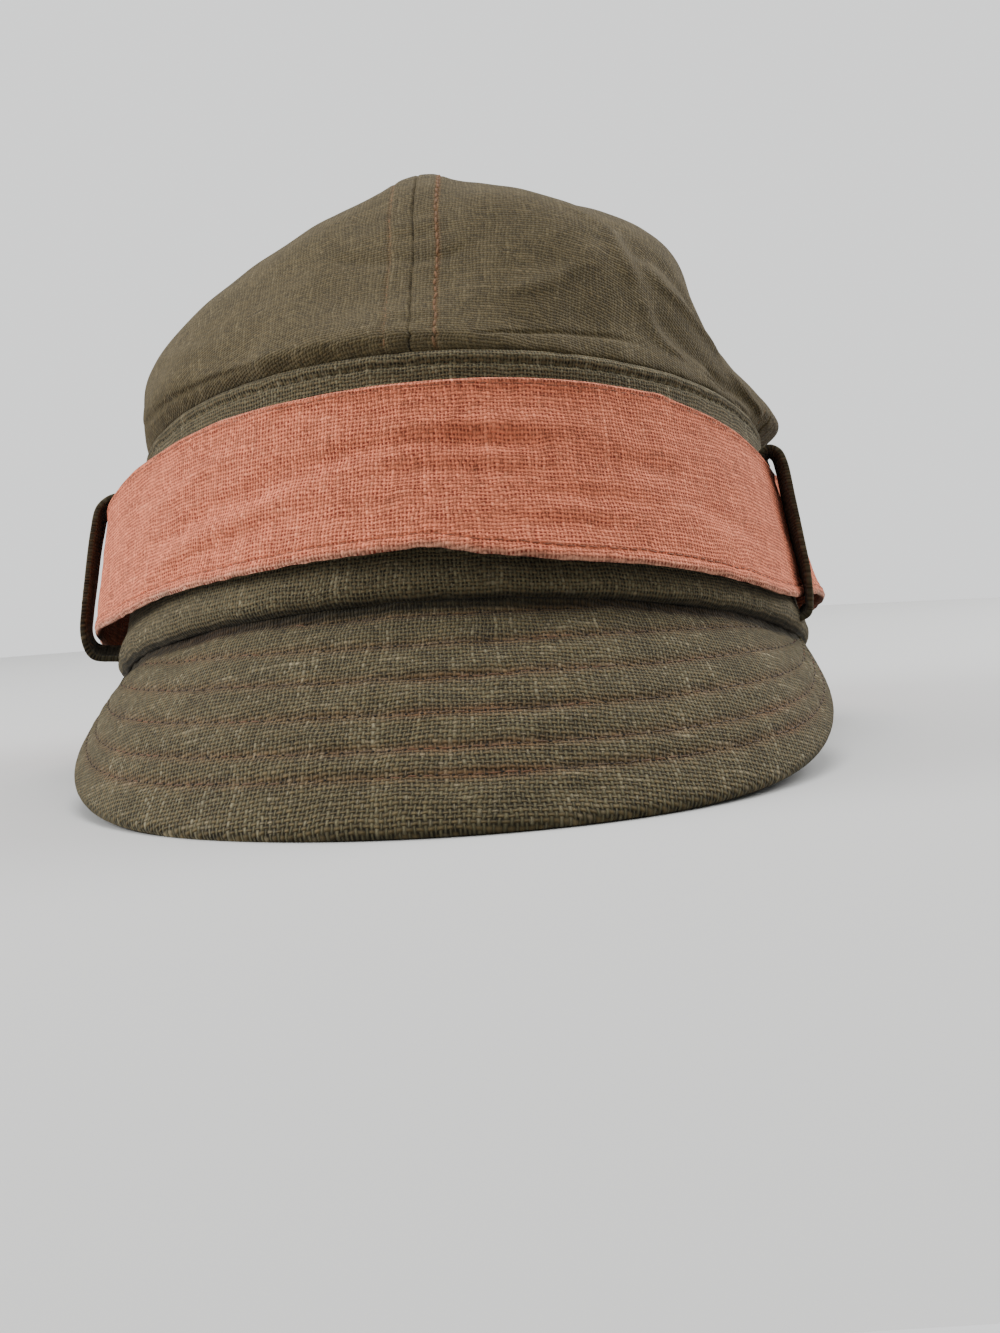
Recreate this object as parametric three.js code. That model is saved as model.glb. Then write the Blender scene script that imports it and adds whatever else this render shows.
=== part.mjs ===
// A soft linen cadet cap at rest on a flat surface: four crown panels, a leaning
// headband, a coral strap held by two belt loops, and a stitched peak.
// Millimetres, +Z up. The peak points along -Y and +X is the right side of the view.
// The cap is shaped upright on its ring plane first, then laid down on its back
// rim and the edge of its peak, which is how it rests by itself.

import * as THREE from 'three';

// Driving dimensions of the headband
const RIM_HALF_WIDTH = 85;
const RIM_HALF_LENGTH = 100;
const SEAM_HALF_WIDTH = 76.5;
const SEAM_HALF_LENGTH = 92.5;
const FRONT_TAPER = 0.03;
const FRONT_HEIGHT = 51.6;
const SIDE_HEIGHT = 52.2;
const RIM_ARCH = 9;
const RIM_ARCH_POWER = 1.2;

// Cloth walls, and the gap that separate pieces keep
const CROWN_WALL = 2;
const STRAP_WALL = 1.3;
const LOOP_WALL = 1.8;
const PEAK_WALL = 3.4;
const GAP = 0.3;

// Crown: where its four seams meet, above the ring plane
const APEX = { x: -2, y: -16, z: 122 };
const APEX_RADIUS = 1.2;
const LEVEL_SHARE = 0.125;
const CROWN_SEAMS = [-180, -83, -1, 83, 180];
const PANEL_NAMES = ['crown_back_left', 'crown_front_left', 'crown_front_right', 'crown_back_right'];

// Peak: a crescent under the front of the rim
const PEAK_HALF_SPREAD = 73.5;
const PEAK_LENGTH = 56.5;
const PEAK_END_LENGTH = 27.5;
const PEAK_BLUNTNESS = 3.4;
const PEAK_FAN = 0.95;
const PEAK_SLOPE = 53.5;
const PEAK_END_SLOPE = 60;
const PEAK_LAST_SECTION = 0.9985;
const PEAK_BULGE = 1.8;
const PEAK_ROOT = { inset: 1.7, drop: 0.4 };
const PEAK_TIP = { inset: 1, rise: 1 };

// Belt loops: width along the strap
const LOOP_WIDTH = 10;

// Rest: how far the cloth flattens at the back rim and at the peak's edge
const BACK_PRESS = 0.8;
const PEAK_PRESS = 0.5;
const SIDEWAYS_TURN = -1.2;
const STEEPEST_TILT = 20;
const TILT_HALVINGS = 40;

// Resolution of the facets
const RING_STEPS = 72;
const PANEL_STEPS = 15;
const PROFILE_STEPS = 15;
const PEAK_STEPS = 34;
const NORMAL_STEP = 0.01;

// Crown sections, one row for each angle round the cap (0 is the front, + is right).
// The wall swells out by fold_out at fold_up above the seam, turns over at
// side_in times the seam's radius, then at top_in, and ends at the apex.
const CROWN_SECTIONS = [
  { angle: -180, fold_out: 5, fold_up: 9, side_in: 0.92, side_up: 28, top_in: 0.6, top_up: 46 },
  { angle: -145, fold_out: 6, fold_up: 9, side_in: 0.93, side_up: 28, top_in: 0.62, top_up: 45 },
  { angle: -110, fold_out: 3, fold_up: 9, side_in: 0.94, side_up: 27, top_in: 0.62, top_up: 44 },
  { angle: -80, fold_out: 0, fold_up: 9, side_in: 0.97, side_up: 23, top_in: 0.63, top_up: 44 },
  { angle: -45, fold_out: 3, fold_up: 6, side_in: 0.9, side_up: 23, top_in: 0.63, top_up: 41 },
  { angle: 0, fold_out: -1, fold_up: 4, side_in: 0.86, side_up: 16, top_in: 0.52, top_up: 48.6 },
  { angle: 45, fold_out: -3, fold_up: 7, side_in: 0.92, side_up: 26, top_in: 0.76, top_up: 41 },
  { angle: 80, fold_out: 1.5, fold_up: 6, side_in: 0.86, side_up: 25, top_in: 0.68, top_up: 48 },
  { angle: 110, fold_out: 6, fold_up: 9, side_in: 0.9, side_up: 29, top_in: 0.58, top_up: 47 },
  { angle: 145, fold_out: 6, fold_up: 9, side_in: 0.92, side_up: 28, top_in: 0.62, top_up: 46 },
  { angle: 180, fold_out: 5, fold_up: 9, side_in: 0.92, side_up: 28, top_in: 0.6, top_up: 46 },
];

// Dents (out below 0) and folds (out above 0) of the slack crown. The share runs
// from the seam at 0 to the apex at 1.
const CROWN_FOLDS = [
  { angle: 92, share: 0.2, angle_spread: 14, share_spread: 0.1, out: 2.5 },
  { angle: 68, share: 0.18, angle_spread: 9, share_spread: 0.1, out: -2.5 },
  { angle: 76, share: 0.42, angle_spread: 14, share_spread: 0.1, out: -2 },
  { angle: 62, share: 0.64, angle_spread: 16, share_spread: 0.12, out: 1.5 },
  { angle: -78, share: 0.42, angle_spread: 14, share_spread: 0.12, out: 1 },
  { angle: -30, share: 0.3, angle_spread: 14, share_spread: 0.12, out: -1.5 },
  { angle: 150, share: 0.3, angle_spread: 16, share_spread: 0.12, out: -2.5 },
  { angle: -140, share: 0.35, angle_spread: 18, share_spread: 0.12, out: -2.5 },
];

// Headband wall from the rolled lower fold up to the crown seam. The share is of
// the band's height, out is how far it swells past the leaning line.
const BAND_ROWS = [
  { share: 0, out: -0.6, wall: 1.6 },
  { share: 0.015, out: 0.4, wall: 2.9 },
  { share: 0.05, out: 1, wall: 3.6 },
  { share: 0.1, out: 0.8, wall: 3.3 },
  { share: 0.17, out: 0, wall: 2.4 },
  { share: 0.45, out: 0, wall: 2.2 },
  { share: 0.75, out: 0, wall: 2.2 },
  { share: 1, out: 0, wall: 2.2 },
];

// Strap edges: height of the lower edge over the rim, the strap's width, and how
// far its two edges stand off the leaning line of the band.
const STRAP_SECTIONS = [
  { angle: -180, low: 8, width: 35.5, low_out: 2, high_out: 2 },
  { angle: -135, low: 7.5, width: 35.2, low_out: 4, high_out: 4 },
  { angle: -100, low: 7.2, width: 34.4, low_out: 7.5, high_out: 8.6 },
  { angle: -80, low: 7.8, width: 33.6, low_out: 8.2, high_out: 9.2 },
  { angle: -60, low: 9, width: 33.8, low_out: 4.4, high_out: 5 },
  { angle: -40, low: 9.6, width: 34.4, low_out: 2.4, high_out: 2.4 },
  { angle: -20, low: 9.4, width: 34.8, low_out: 2, high_out: 2 },
  { angle: 0, low: 9.2, width: 35.4, low_out: 1.8, high_out: 1.8 },
  { angle: 14, low: 7.4, width: 37.6, low_out: 1.9, high_out: 1.9 },
  { angle: 35, low: 6.6, width: 38.4, low_out: 2.3, high_out: 2.2 },
  { angle: 55, low: 6, width: 36.8, low_out: 2.5, high_out: 2.2 },
  { angle: 66, low: 5.7, width: 35.2, low_out: 2.5, high_out: 1.9 },
  { angle: 76, low: 5.6, width: 34.6, low_out: 2.8, high_out: 1.9 },
  { angle: 97, low: 9.4, width: 33.2, low_out: 10, high_out: 5 },
  { angle: 120, low: 8.6, width: 34.4, low_out: 6, high_out: 4 },
  { angle: 180, low: 8, width: 35.5, low_out: 2, high_out: 2 },
];
const STRAP_SHARES = [0, 0.03, 0.25, 0.5, 0.75, 0.97, 1];
const STRAP_HEM = 0.25;

// Belt loops: the angle of each round the cap, how far its middle is twisted so that
// its back edge stands out, and its middle line from the foot above the strap or
// behind it, over the strap and down to the foot below it
const LOOPS = [
  {
    name: 'belt_loop_left',
    angle: -80,
    twist: 0,
    rows: [
      { out: 1.5, up: 36 },
      { out: 1.6, up: 41 },
      { out: 3.6, up: 44.8 },
      { out: 7.6, up: 46 },
      { out: 10.8, up: 43.8 },
      { out: 11.5, up: 37 },
      { out: 11.5, up: 25 },
      { out: 11.2, up: 14.5 },
      { out: 10.7, up: 8.6 },
      { out: 8.2, up: 5.4 },
      { out: 1.8, up: 5 },
    ],
  },
  {
    name: 'belt_loop_right',
    angle: 74,
    twist: 14,
    rows: [
      { out: 1.4, up: 41.8 },
      { out: 1.5, up: 43.2 },
      { out: 2.9, up: 44.6 },
      { out: 4.5, up: 44 },
      { out: 5.2, up: 41 },
      { out: 5.1, up: 33 },
      { out: 5, up: 24 },
      { out: 5.1, up: 14 },
      { out: 5, up: 7.6 },
      { out: 3.7, up: 3.6 },
      { out: 1.8, up: 3.2 },
    ],
  },
];

// Peak thickness from root to edge, as a share of its length and of its wall
const PEAK_ROWS = [
  { share: 0, wall: 1 },
  { share: 0.15, wall: 1 },
  { share: 0.35, wall: 1 },
  { share: 0.55, wall: 1 },
  { share: 0.75, wall: 1 },
  { share: 0.9, wall: 1 },
  { share: 0.975, wall: 0.9 },
  { share: 1, wall: 0.45 },
];

const OLIVE = { color: 0x6e614b, roughness: 0.95, metalness: 0 };
const OLIVE_SHADE = { color: 0x63573f, roughness: 0.95, metalness: 0 };
const CORAL = { color: 0xb7705c, roughness: 0.93, metalness: 0 };

const radians = THREE.MathUtils.degToRad;
const degrees = THREE.MathUtils.radToDeg;

// Smooth values between the rows of a table that is sorted by angle
function tableReader(rows) {
  const names = Object.keys(rows[0]).filter((name) => name !== 'angle');
  const angles = rows.map((row) => row.angle);
  const values = rows.flatMap((row) => names.map((name) => row[name]));
  const spline = new THREE.CubicInterpolant(angles, values, names.length);
  spline.settings = { endingStart: THREE.ZeroSlopeEnding, endingEnd: THREE.ZeroSlopeEnding };
  return (angle) => {
    const found = spline.evaluate(angle);
    return Object.fromEntries(names.map((name, index) => [name, found[index]]));
  };
}

const crownAt = tableReader(CROWN_SECTIONS);
const strapAt = tableReader(STRAP_SECTIONS);

// Egg-shaped plan of the cap, a little narrower at the front
function oval(angle, halfWidth, halfLength) {
  const turn = radians(angle);
  const x = halfWidth * Math.sin(turn) * (1 - FRONT_TAPER * Math.cos(turn));
  return { x, y: -halfLength * Math.cos(turn) };
}

function rimHeight(angle) {
  const forward = (1 + Math.cos(radians(angle))) / 2;
  return RIM_ARCH * forward ** RIM_ARCH_POWER;
}

function bandHeight(angle) {
  return THREE.MathUtils.lerp(FRONT_HEIGHT, SIDE_HEIGHT, Math.sin(radians(angle)) ** 2);
}

// A point beside the headband, out from its leaning line and up from its rim
function besideBand(angle, up, out) {
  const share = up / bandHeight(angle);
  const halfWidth = THREE.MathUtils.lerp(RIM_HALF_WIDTH, SEAM_HALF_WIDTH, share) + out;
  const halfLength = THREE.MathUtils.lerp(RIM_HALF_LENGTH, SEAM_HALF_LENGTH, share) + out;
  const { x, y } = oval(angle, halfWidth, halfLength);
  return new THREE.Vector3(x, y, rimHeight(angle) + up);
}

// Closed skin through a row of section loops with the same number of points. Each
// loop runs up the outside and back down the inside, so a capped end is a strip.
function loft(loops, closed) {
  const size = loops[0].length;
  const positions = loops.flatMap((loop) => loop.flatMap((point) => point.toArray()));
  const faces = [];
  const quad = (a, b, c, d) => faces.push(a, b, c, a, c, d);
  const spans = closed ? loops.length : loops.length - 1;
  for (let i = 0; i < spans; i += 1) {
    const here = i * size;
    const next = ((i + 1) % loops.length) * size;
    for (let j = 0; j < size; j += 1) {
      const k = (j + 1) % size;
      quad(here + j, next + j, next + k, here + k);
    }
  }
  if (!closed) {
    const last = (loops.length - 1) * size;
    for (let j = 0; j < size / 2 - 1; j += 1) {
      const k = size - 1 - j;
      quad(j, j + 1, k - 1, k);
      quad(last + k, last + k - 1, last + j + 1, last + j);
    }
  }
  const geometry = new THREE.BufferGeometry();
  geometry.setAttribute('position', new THREE.Float32BufferAttribute(positions, 3));
  geometry.setIndex(faces);
  return geometry;
}

function fractions(steps) {
  return Array.from({ length: steps + 1 }, (_, index) => index / steps);
}

function ringAngles() {
  return fractions(RING_STEPS).slice(0, -1).map((share) => 360 * share - 180);
}

// Outer surface of the crown at an angle, from the seam (share 0) to the apex (1)
function crownPoint(angle, share) {
  const row = crownAt(angle);
  const seam = oval(angle, SEAM_HALF_WIDTH, SEAM_HALF_LENGTH);
  const seamRadius = Math.hypot(seam.x, seam.y);
  const base = rimHeight(angle) + bandHeight(angle) + GAP;
  const profile = new THREE.CatmullRomCurve3([
    new THREE.Vector3(seamRadius, 0, base),
    new THREE.Vector3(seamRadius + row.fold_out, 0, base + row.fold_up),
    new THREE.Vector3(seamRadius * row.side_in, 0, base + row.side_up),
    new THREE.Vector3(seamRadius * row.top_in, 0, base + row.top_up),
    new THREE.Vector3(APEX_RADIUS, 0, APEX.z),
  ]);
  const found = profile.getPoint(share);
  const puff = CROWN_FOLDS.reduce((sum, fold) => {
    const sideways = (angle - fold.angle) / fold.angle_spread;
    const upward = (share - fold.share) / fold.share_spread;
    return sum + fold.out * Math.exp(-(sideways ** 2) - upward ** 2);
  }, 0);
  const reach = (found.x + puff) / seamRadius;
  const toApex = Math.max(0, 1 - reach);
  return new THREE.Vector3(seam.x * reach + APEX.x * toApex, seam.y * reach + APEX.y * toApex, found.z);
}

// Inner surface, one wall in along the normal, and level at the seam itself
function crownInnerPoint(angle, share) {
  const point = crownPoint(angle, share);
  const around = crownPoint(angle + 1, share).sub(crownPoint(angle - 1, share));
  const low = Math.max(0, share - NORMAL_STEP);
  const upward = crownPoint(angle, Math.min(1, share + NORMAL_STEP)).sub(crownPoint(angle, low));
  const normal = around.cross(upward).normalize();
  normal.z *= Math.min(1, share / LEVEL_SHARE);
  return point.addScaledVector(normal.normalize(), -CROWN_WALL);
}

// One panel between two crown seams, with half the gap left along each of them
function crownPanel(startAngle, endAngle) {
  const shares = fractions(PROFILE_STEPS);
  return fractions(PANEL_STEPS).map((across) => {
    const angleAt = (share) => {
      const point = crownPoint(THREE.MathUtils.lerp(startAngle, endAngle, across), share);
      const radius = Math.max(APEX_RADIUS, Math.hypot(point.x - APEX.x, point.y - APEX.y));
      const margin = degrees(GAP / 2 / radius);
      return THREE.MathUtils.lerp(startAngle + margin, endAngle - margin, across);
    };
    const outside = shares.map((share) => crownPoint(angleAt(share), share));
    const inside = shares.map((share) => crownInnerPoint(angleAt(share), share));
    return [...outside, ...inside.reverse()];
  });
}

function headband() {
  return ringAngles().map((angle) => {
    const height = bandHeight(angle);
    const outside = BAND_ROWS.map((row) => besideBand(angle, row.share * height, row.out));
    const inside = BAND_ROWS.map((row) => besideBand(angle, row.share * height, row.out - row.wall));
    return [...outside, ...inside.reverse()];
  });
}

function strap() {
  return ringAngles().map((angle) => {
    const row = strapAt(angle);
    const at = (share, lift) => {
      const edge = share === 0 || share === 1 ? STRAP_HEM : 0;
      const out = THREE.MathUtils.lerp(row.low_out, row.high_out, share);
      return besideBand(angle, row.low + row.width * share, out + (lift ? -edge : edge - STRAP_WALL));
    };
    const outside = STRAP_SHARES.map((share) => at(share, true));
    const inside = STRAP_SHARES.map((share) => at(share, false));
    return [...outside, ...inside.reverse()];
  });
}

// A tab that leaves the band above the strap, passes outside it and comes back below
function beltLoop({ angle, twist, rows }) {
  return rows.map((row, index) => {
    const middling = Math.sin((Math.PI * index) / (rows.length - 1));
    const heading = radians(angle + twist * middling);
    const before = rows[Math.max(0, index - 1)];
    const after = rows[Math.min(rows.length - 1, index + 1)];
    const length = Math.hypot(after.out - before.out, after.up - before.up);
    const outward = { out: -(after.up - before.up) / length, up: (after.out - before.out) / length };
    const corner = (side, face) => {
      const centre = besideBand(angle, row.up + outward.up * face, row.out + outward.out * face);
      const along = new THREE.Vector3(Math.cos(heading), Math.sin(heading), 0);
      return centre.addScaledVector(along, (side * LOOP_WIDTH) / 2);
    };
    const half = LOOP_WALL / 2;
    return [corner(-1, half), corner(1, half), corner(1, -half), corner(-1, -half)];
  });
}

// Peak: a section straight out from the rim at each place across its spread
function peakSection(across) {
  const angle = PEAK_HALF_SPREAD * across;
  const fan = radians(PEAK_FAN * angle);
  const slope = radians(THREE.MathUtils.lerp(PEAK_SLOPE, PEAK_END_SLOPE, across ** 2));
  const full = THREE.MathUtils.lerp(PEAK_LENGTH, PEAK_END_LENGTH, across ** 2);
  const length = full * Math.sqrt(Math.max(0, 1 - Math.abs(across) ** PEAK_BLUNTNESS));
  const ahead = new THREE.Vector3(Math.sin(fan), -Math.cos(fan), 0);
  const rise = new THREE.Vector3(0, 0, 1);
  const down = ahead.clone().multiplyScalar(Math.cos(slope)).addScaledVector(rise, -Math.sin(slope));
  const normal = ahead.clone().multiplyScalar(Math.sin(slope)).addScaledVector(rise, Math.cos(slope));
  const root = besideBand(angle, -PEAK_ROOT.drop, -PEAK_ROOT.inset);
  const tip = besideBand(angle, PEAK_TIP.rise, -PEAK_TIP.inset).addScaledVector(down, length);
  const at = (row, depth) => {
    const bulge = PEAK_BULGE * (length / PEAK_LENGTH) * Math.sin(Math.PI * row.share);
    return root.clone().lerp(tip, row.share).addScaledVector(normal, bulge - depth);
  };
  const rounding = (row) => (PEAK_WALL * (1 - row.wall)) / 2;
  const above = PEAK_ROWS.map((row) => at(row, rounding(row)));
  const below = PEAK_ROWS.map((row) => at(row, PEAK_WALL - rounding(row)));
  return [...below, ...above.reverse()];
}

function peak() {
  return fractions(PEAK_STEPS).map((share) => {
    const across = PEAK_LAST_SECTION * Math.sin((share - 0.5) * Math.PI);
    return peakSection(across);
  });
}

// Lean about the back rim, so that the peak's edge and the back rim touch down
function lean(point, tilt) {
  const turned = point.clone().applyAxisAngle(new THREE.Vector3(0, 0, 1), radians(SIDEWAYS_TURN));
  const pivot = new THREE.Vector3(0, RIM_HALF_LENGTH, 0);
  turned.sub(pivot).applyAxisAngle(new THREE.Vector3(1, 0, 0), -radians(tilt)).add(pivot);
  turned.z -= BACK_PRESS;
  return turned;
}

function lowest(loops, tilt) {
  return Math.min(...loops.flat().map((point) => lean(point, tilt).z));
}

function restTilt(peakLoops) {
  let low = 0;
  let high = STEEPEST_TILT;
  for (let round = 0; round < TILT_HALVINGS; round += 1) {
    const middle = (low + high) / 2;
    if (lowest(peakLoops, middle) < -PEAK_PRESS) low = middle;
    else high = middle;
  }
  return high;
}

// Every piece as section loops, before it is laid down
const panels = PANEL_NAMES.map((name, index) => ({
  name,
  loops: crownPanel(CROWN_SEAMS[index], CROWN_SEAMS[index + 1]),
  closed: false,
  look: OLIVE,
}));
const pieces = [
  ...panels,
  { name: 'headband', loops: headband(), closed: true, look: OLIVE_SHADE },
  { name: 'strap', loops: strap(), closed: true, look: CORAL },
  { name: 'peak', loops: peak(), closed: false, look: OLIVE },
  ...LOOPS.map((place) => ({
    name: place.name,
    loops: beltLoop(place),
    closed: false,
    look: OLIVE_SHADE,
  })),
];

const tilt = restTilt(pieces.find((piece) => piece.name === 'peak').loops);

// Lay a piece down and flatten the cloth that meets the surface
function layDown(loops) {
  return loops.map((loop) => loop.map((point) => {
    const laid = lean(point, tilt);
    laid.z = Math.max(0, laid.z);
    return laid;
  }));
}

const cap = new THREE.Group();
for (const piece of pieces) {
  const geometry = loft(layDown(piece.loops), piece.closed);
  geometry.computeVertexNormals();
  const mesh = new THREE.Mesh(geometry, new THREE.MeshStandardMaterial(piece.look));
  mesh.name = piece.name;
  cap.add(mesh);
}

// Origin at the middle of the footprint, on the surface
const box = new THREE.Box3().setFromObject(cap);
const middle = box.getCenter(new THREE.Vector3());
cap.position.set(-middle.x, -middle.y, 0);

export default cap;
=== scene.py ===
# %% [markdown]
# # A linen cadet cap
# This lesson dresses a plain solid model of a soft cap as real cloth. The solid pieces
# were packed before, so the first step loads them as a fixed frame. Each later step
# takes one piece of the cap, says what it is on the real thing, and builds it again as
# a fine mesh in the same place, with its seams, folds and stitches as real shape.

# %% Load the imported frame
import math

import bpy
import numpy as np
from mathutils import Matrix, Vector, noise


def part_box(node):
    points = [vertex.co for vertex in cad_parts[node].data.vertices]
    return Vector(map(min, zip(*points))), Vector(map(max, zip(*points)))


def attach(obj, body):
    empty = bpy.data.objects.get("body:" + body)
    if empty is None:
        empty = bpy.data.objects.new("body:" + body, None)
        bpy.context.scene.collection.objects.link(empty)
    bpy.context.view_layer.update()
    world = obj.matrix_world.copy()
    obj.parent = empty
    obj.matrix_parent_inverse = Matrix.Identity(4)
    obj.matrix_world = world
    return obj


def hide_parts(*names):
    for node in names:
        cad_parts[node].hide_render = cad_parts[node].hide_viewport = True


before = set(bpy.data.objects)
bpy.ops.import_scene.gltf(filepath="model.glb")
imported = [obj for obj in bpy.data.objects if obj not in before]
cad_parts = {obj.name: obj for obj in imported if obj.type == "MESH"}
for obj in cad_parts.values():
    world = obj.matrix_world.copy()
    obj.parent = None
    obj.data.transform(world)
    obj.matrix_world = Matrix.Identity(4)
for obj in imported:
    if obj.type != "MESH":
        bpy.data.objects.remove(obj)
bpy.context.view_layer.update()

print("frame nodes:", sorted(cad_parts))

# %% [markdown]
# ## Sizes
# A cap is drafted from the head upwards: the rim fits the head, the band leans in from
# it, and the crown is sewn to the top of the band. All sizes here are millimetres and
# degrees, because that is how a cap maker writes them, and they turn into metres only
# when a mesh is made. Angle 0 is the front of the cap, and angles grow to the right.

# %% The cap's own sizes
MM = 0.001
RIM_HALF = np.array([85.0, 100.0])
SEAM_HALF = np.array([76.5, 92.5])
FRONT_TAPER = 0.03
FRONT_HEIGHT = 51.6
SIDE_HEIGHT = 52.2
RIM_ARCH = 9.0
RIM_ARCH_POWER = 1.2
APEX = np.array([-2.0, -16.0, 122.0])
CROWN_WALL = 2.0
STRAP_WALL = 1.3
LOOP_WALL = 1.8
PEAK_WALL = 3.4

# %% [markdown]
# ## Reading a short table
# Soft shapes change slowly round the cap, so a few rows are enough, one for each
# angle that matters. A smooth curve through the rows fills in what lies between. Its
# slope at each row is that of the line from the row before to the row after.

# %% Smooth values between the rows of a table
def table_reader(names, rows):
    rows = np.array(rows, float)
    angles, values = rows[:, 0], rows[:, 1:]
    slopes = np.zeros_like(values)
    slopes[1:-1] = (values[2:] - values[:-2]) / (angles[2:] - angles[:-2])[:, None]

    def read(angle):
        angle = np.asarray(angle, float)
        low = np.clip(np.searchsorted(angles, angle, side="right") - 1, 0, len(angles) - 2)
        span = angles[low + 1] - angles[low]
        t = ((angle - angles[low]) / span)[..., None]
        span = span[..., None]
        found = (
            (2 * t**3 - 3 * t**2 + 1) * values[low]
            + (t**3 - 2 * t**2 + t) * span * slopes[low]
            + (-2 * t**3 + 3 * t**2) * values[low + 1]
            + (t**3 - t**2) * span * slopes[low + 1]
        )
        return dict(zip(names, np.moveaxis(found, -1, 0)))

    return read


# %% [markdown]
# ## The band as the measure of everything
# The strap, the loops and the peak are all placed from the band: how far round, how
# far up from the rim, and how far out from its leaning line. One function answers
# that for any number of points at once.

# %% Places beside the headband
def oval(angle, half_width, half_length):
    turn = np.radians(angle)
    x = half_width * np.sin(turn) * (1 - FRONT_TAPER * np.cos(turn))
    return x, -half_length * np.cos(turn)


def rim_height(angle):
    forward = (1 + np.cos(np.radians(angle))) / 2
    return RIM_ARCH * forward**RIM_ARCH_POWER


def band_height(angle):
    return FRONT_HEIGHT + (SIDE_HEIGHT - FRONT_HEIGHT) * np.sin(np.radians(angle)) ** 2


def beside_band(angle, up, out):
    angle, up, out = np.broadcast_arrays(angle, up, out)
    share = up / band_height(angle)
    half_width = RIM_HALF[0] + (SEAM_HALF[0] - RIM_HALF[0]) * share + out
    half_length = RIM_HALF[1] + (SEAM_HALF[1] - RIM_HALF[1]) * share + out
    x, y = oval(angle, half_width, half_length)
    return np.stack([x, y, rim_height(angle) + up], -1)


print("band height, front and side:", FRONT_HEIGHT, SIDE_HEIGHT)

# %% [markdown]
# ## Helpers for cloth surfaces
# A sewn surface is a grid of points with a relief on it: grooves at seams, puckers
# beside them and slow waves over all. The relief is worked out in millimetres and
# then pushed out along the surface's own normals, so it follows any shape.

# %% Bumps, steps and waves
def bell(distance, width):
    return np.exp(-((distance / width) ** 2))


def step_down(distance, start, end):
    """1 at start, 0 at end, whichever of the two is greater."""
    t = np.clip((distance - start) / (end - start), 0, 1)
    return 1 - t * t * (3 - 2 * t)


def waves(u, v, u_size, v_size, seed):
    """Soft random waves between about -1 and 1, u_size by v_size long."""
    u, v = np.broadcast_arrays(u, v)
    found = [
        noise.noise(Vector((a, b, seed * 7.31)))
        for a, b in zip((u / u_size).ravel().tolist(), (v / v_size).ravel().tolist())
    ]
    return np.array(found).reshape(u.shape)


# %% Normals and lengths of a grid of points
def unit(vectors):
    return vectors / np.maximum(np.linalg.norm(vectors, axis=-1, keepdims=True), 1e-9)


def grid_normals(grid):
    return unit(np.cross(np.gradient(grid, axis=1), np.gradient(grid, axis=0)))


def running_length(grid, axis):
    steps = np.linalg.norm(np.diff(grid, axis=axis), axis=-1)
    start = np.zeros_like(np.take(steps, [0], axis=axis))
    return np.concatenate([start, np.cumsum(steps, axis=axis)], axis=axis)


def distance_to_path(grid, path):
    """How far each point of a grid lies from a row of straight steps."""
    nearest = np.full(grid.shape[:-1], np.inf)
    for a, b in zip(path[:-1], path[1:]):
        step = b - a
        along = np.clip(((grid - a) @ step) / max(step @ step, 1e-9), 0, 1)
        nearest = np.minimum(nearest, np.linalg.norm(grid - a - along[..., None] * step, axis=-1))
    return nearest


# %% [markdown]
# ## Laying the cap down
# The cap is drafted upright, but it rests on the back of its rim and on the edge of its
# peak. The two presses say how far the cloth flattens there. The tilt is found as a
# maker would find it, by leaning the cap until the peak's edge touches the table. The
# plumpest line of the band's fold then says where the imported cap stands.

# %% Lean about the back rim
BACK_PRESS = 0.8
PEAK_PRESS = 0.5
PEAK_EDGE_UNDER = 0.725
BAND_FOLD = {"up": 2.6, "out": 1.0}
SIDEWAYS_TURN = math.radians(-1.2)


def lean(points, tilt):
    c, s = math.cos(SIDEWAYS_TURN), math.sin(SIDEWAYS_TURN)
    x = points[..., 0] * c - points[..., 1] * s
    y = points[..., 0] * s + points[..., 1] * c - RIM_HALF[1]
    z = points[..., 2]
    c, s = math.cos(tilt), math.sin(tilt)
    return np.stack([x, RIM_HALF[1] + y * c + z * s, z * c - y * s - BACK_PRESS], -1)


# %% [markdown]
# ## The peak's outline
# A peak is cut as a crescent and sewn under the front of the rim. Each section runs
# straight out from the rim, steeper and shorter towards the two ends.

# %% Sections of the peak
PEAK_HALF_SPREAD = 73.5
PEAK_LENGTH = 56.5
PEAK_END_LENGTH = 27.5
PEAK_BLUNTNESS = 3.4
PEAK_FAN = 0.95
PEAK_SLOPE = 53.5
PEAK_END_SLOPE = 60.0
PEAK_BULGE = 1.8
PEAK_ROOT = {"inset": 1.7, "drop": 0.4}
PEAK_TIP = {"inset": 1.0, "rise": 1.0}


def peak_frame(across):
    """Root, tip, normal and length of the sections at these places across the spread."""
    angle = PEAK_HALF_SPREAD * across
    fan = np.radians(PEAK_FAN * angle)
    slope = np.radians(PEAK_SLOPE + (PEAK_END_SLOPE - PEAK_SLOPE) * across**2)
    full = PEAK_LENGTH + (PEAK_END_LENGTH - PEAK_LENGTH) * across**2
    length = full * np.sqrt(np.maximum(0, 1 - np.abs(across) ** PEAK_BLUNTNESS))
    sin_f, cos_f, sin_s, cos_s = np.sin(fan), np.cos(fan), np.sin(slope), np.cos(slope)
    down = np.stack([sin_f * cos_s, -cos_f * cos_s, -sin_s], -1)
    normal = np.stack([sin_f * sin_s, -cos_f * sin_s, cos_s], -1)
    root = beside_band(angle, -PEAK_ROOT["drop"], -PEAK_ROOT["inset"])
    tip = beside_band(angle, PEAK_TIP["rise"], -PEAK_TIP["inset"]) + down * length[..., None]
    return root, tip, normal, length


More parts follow.
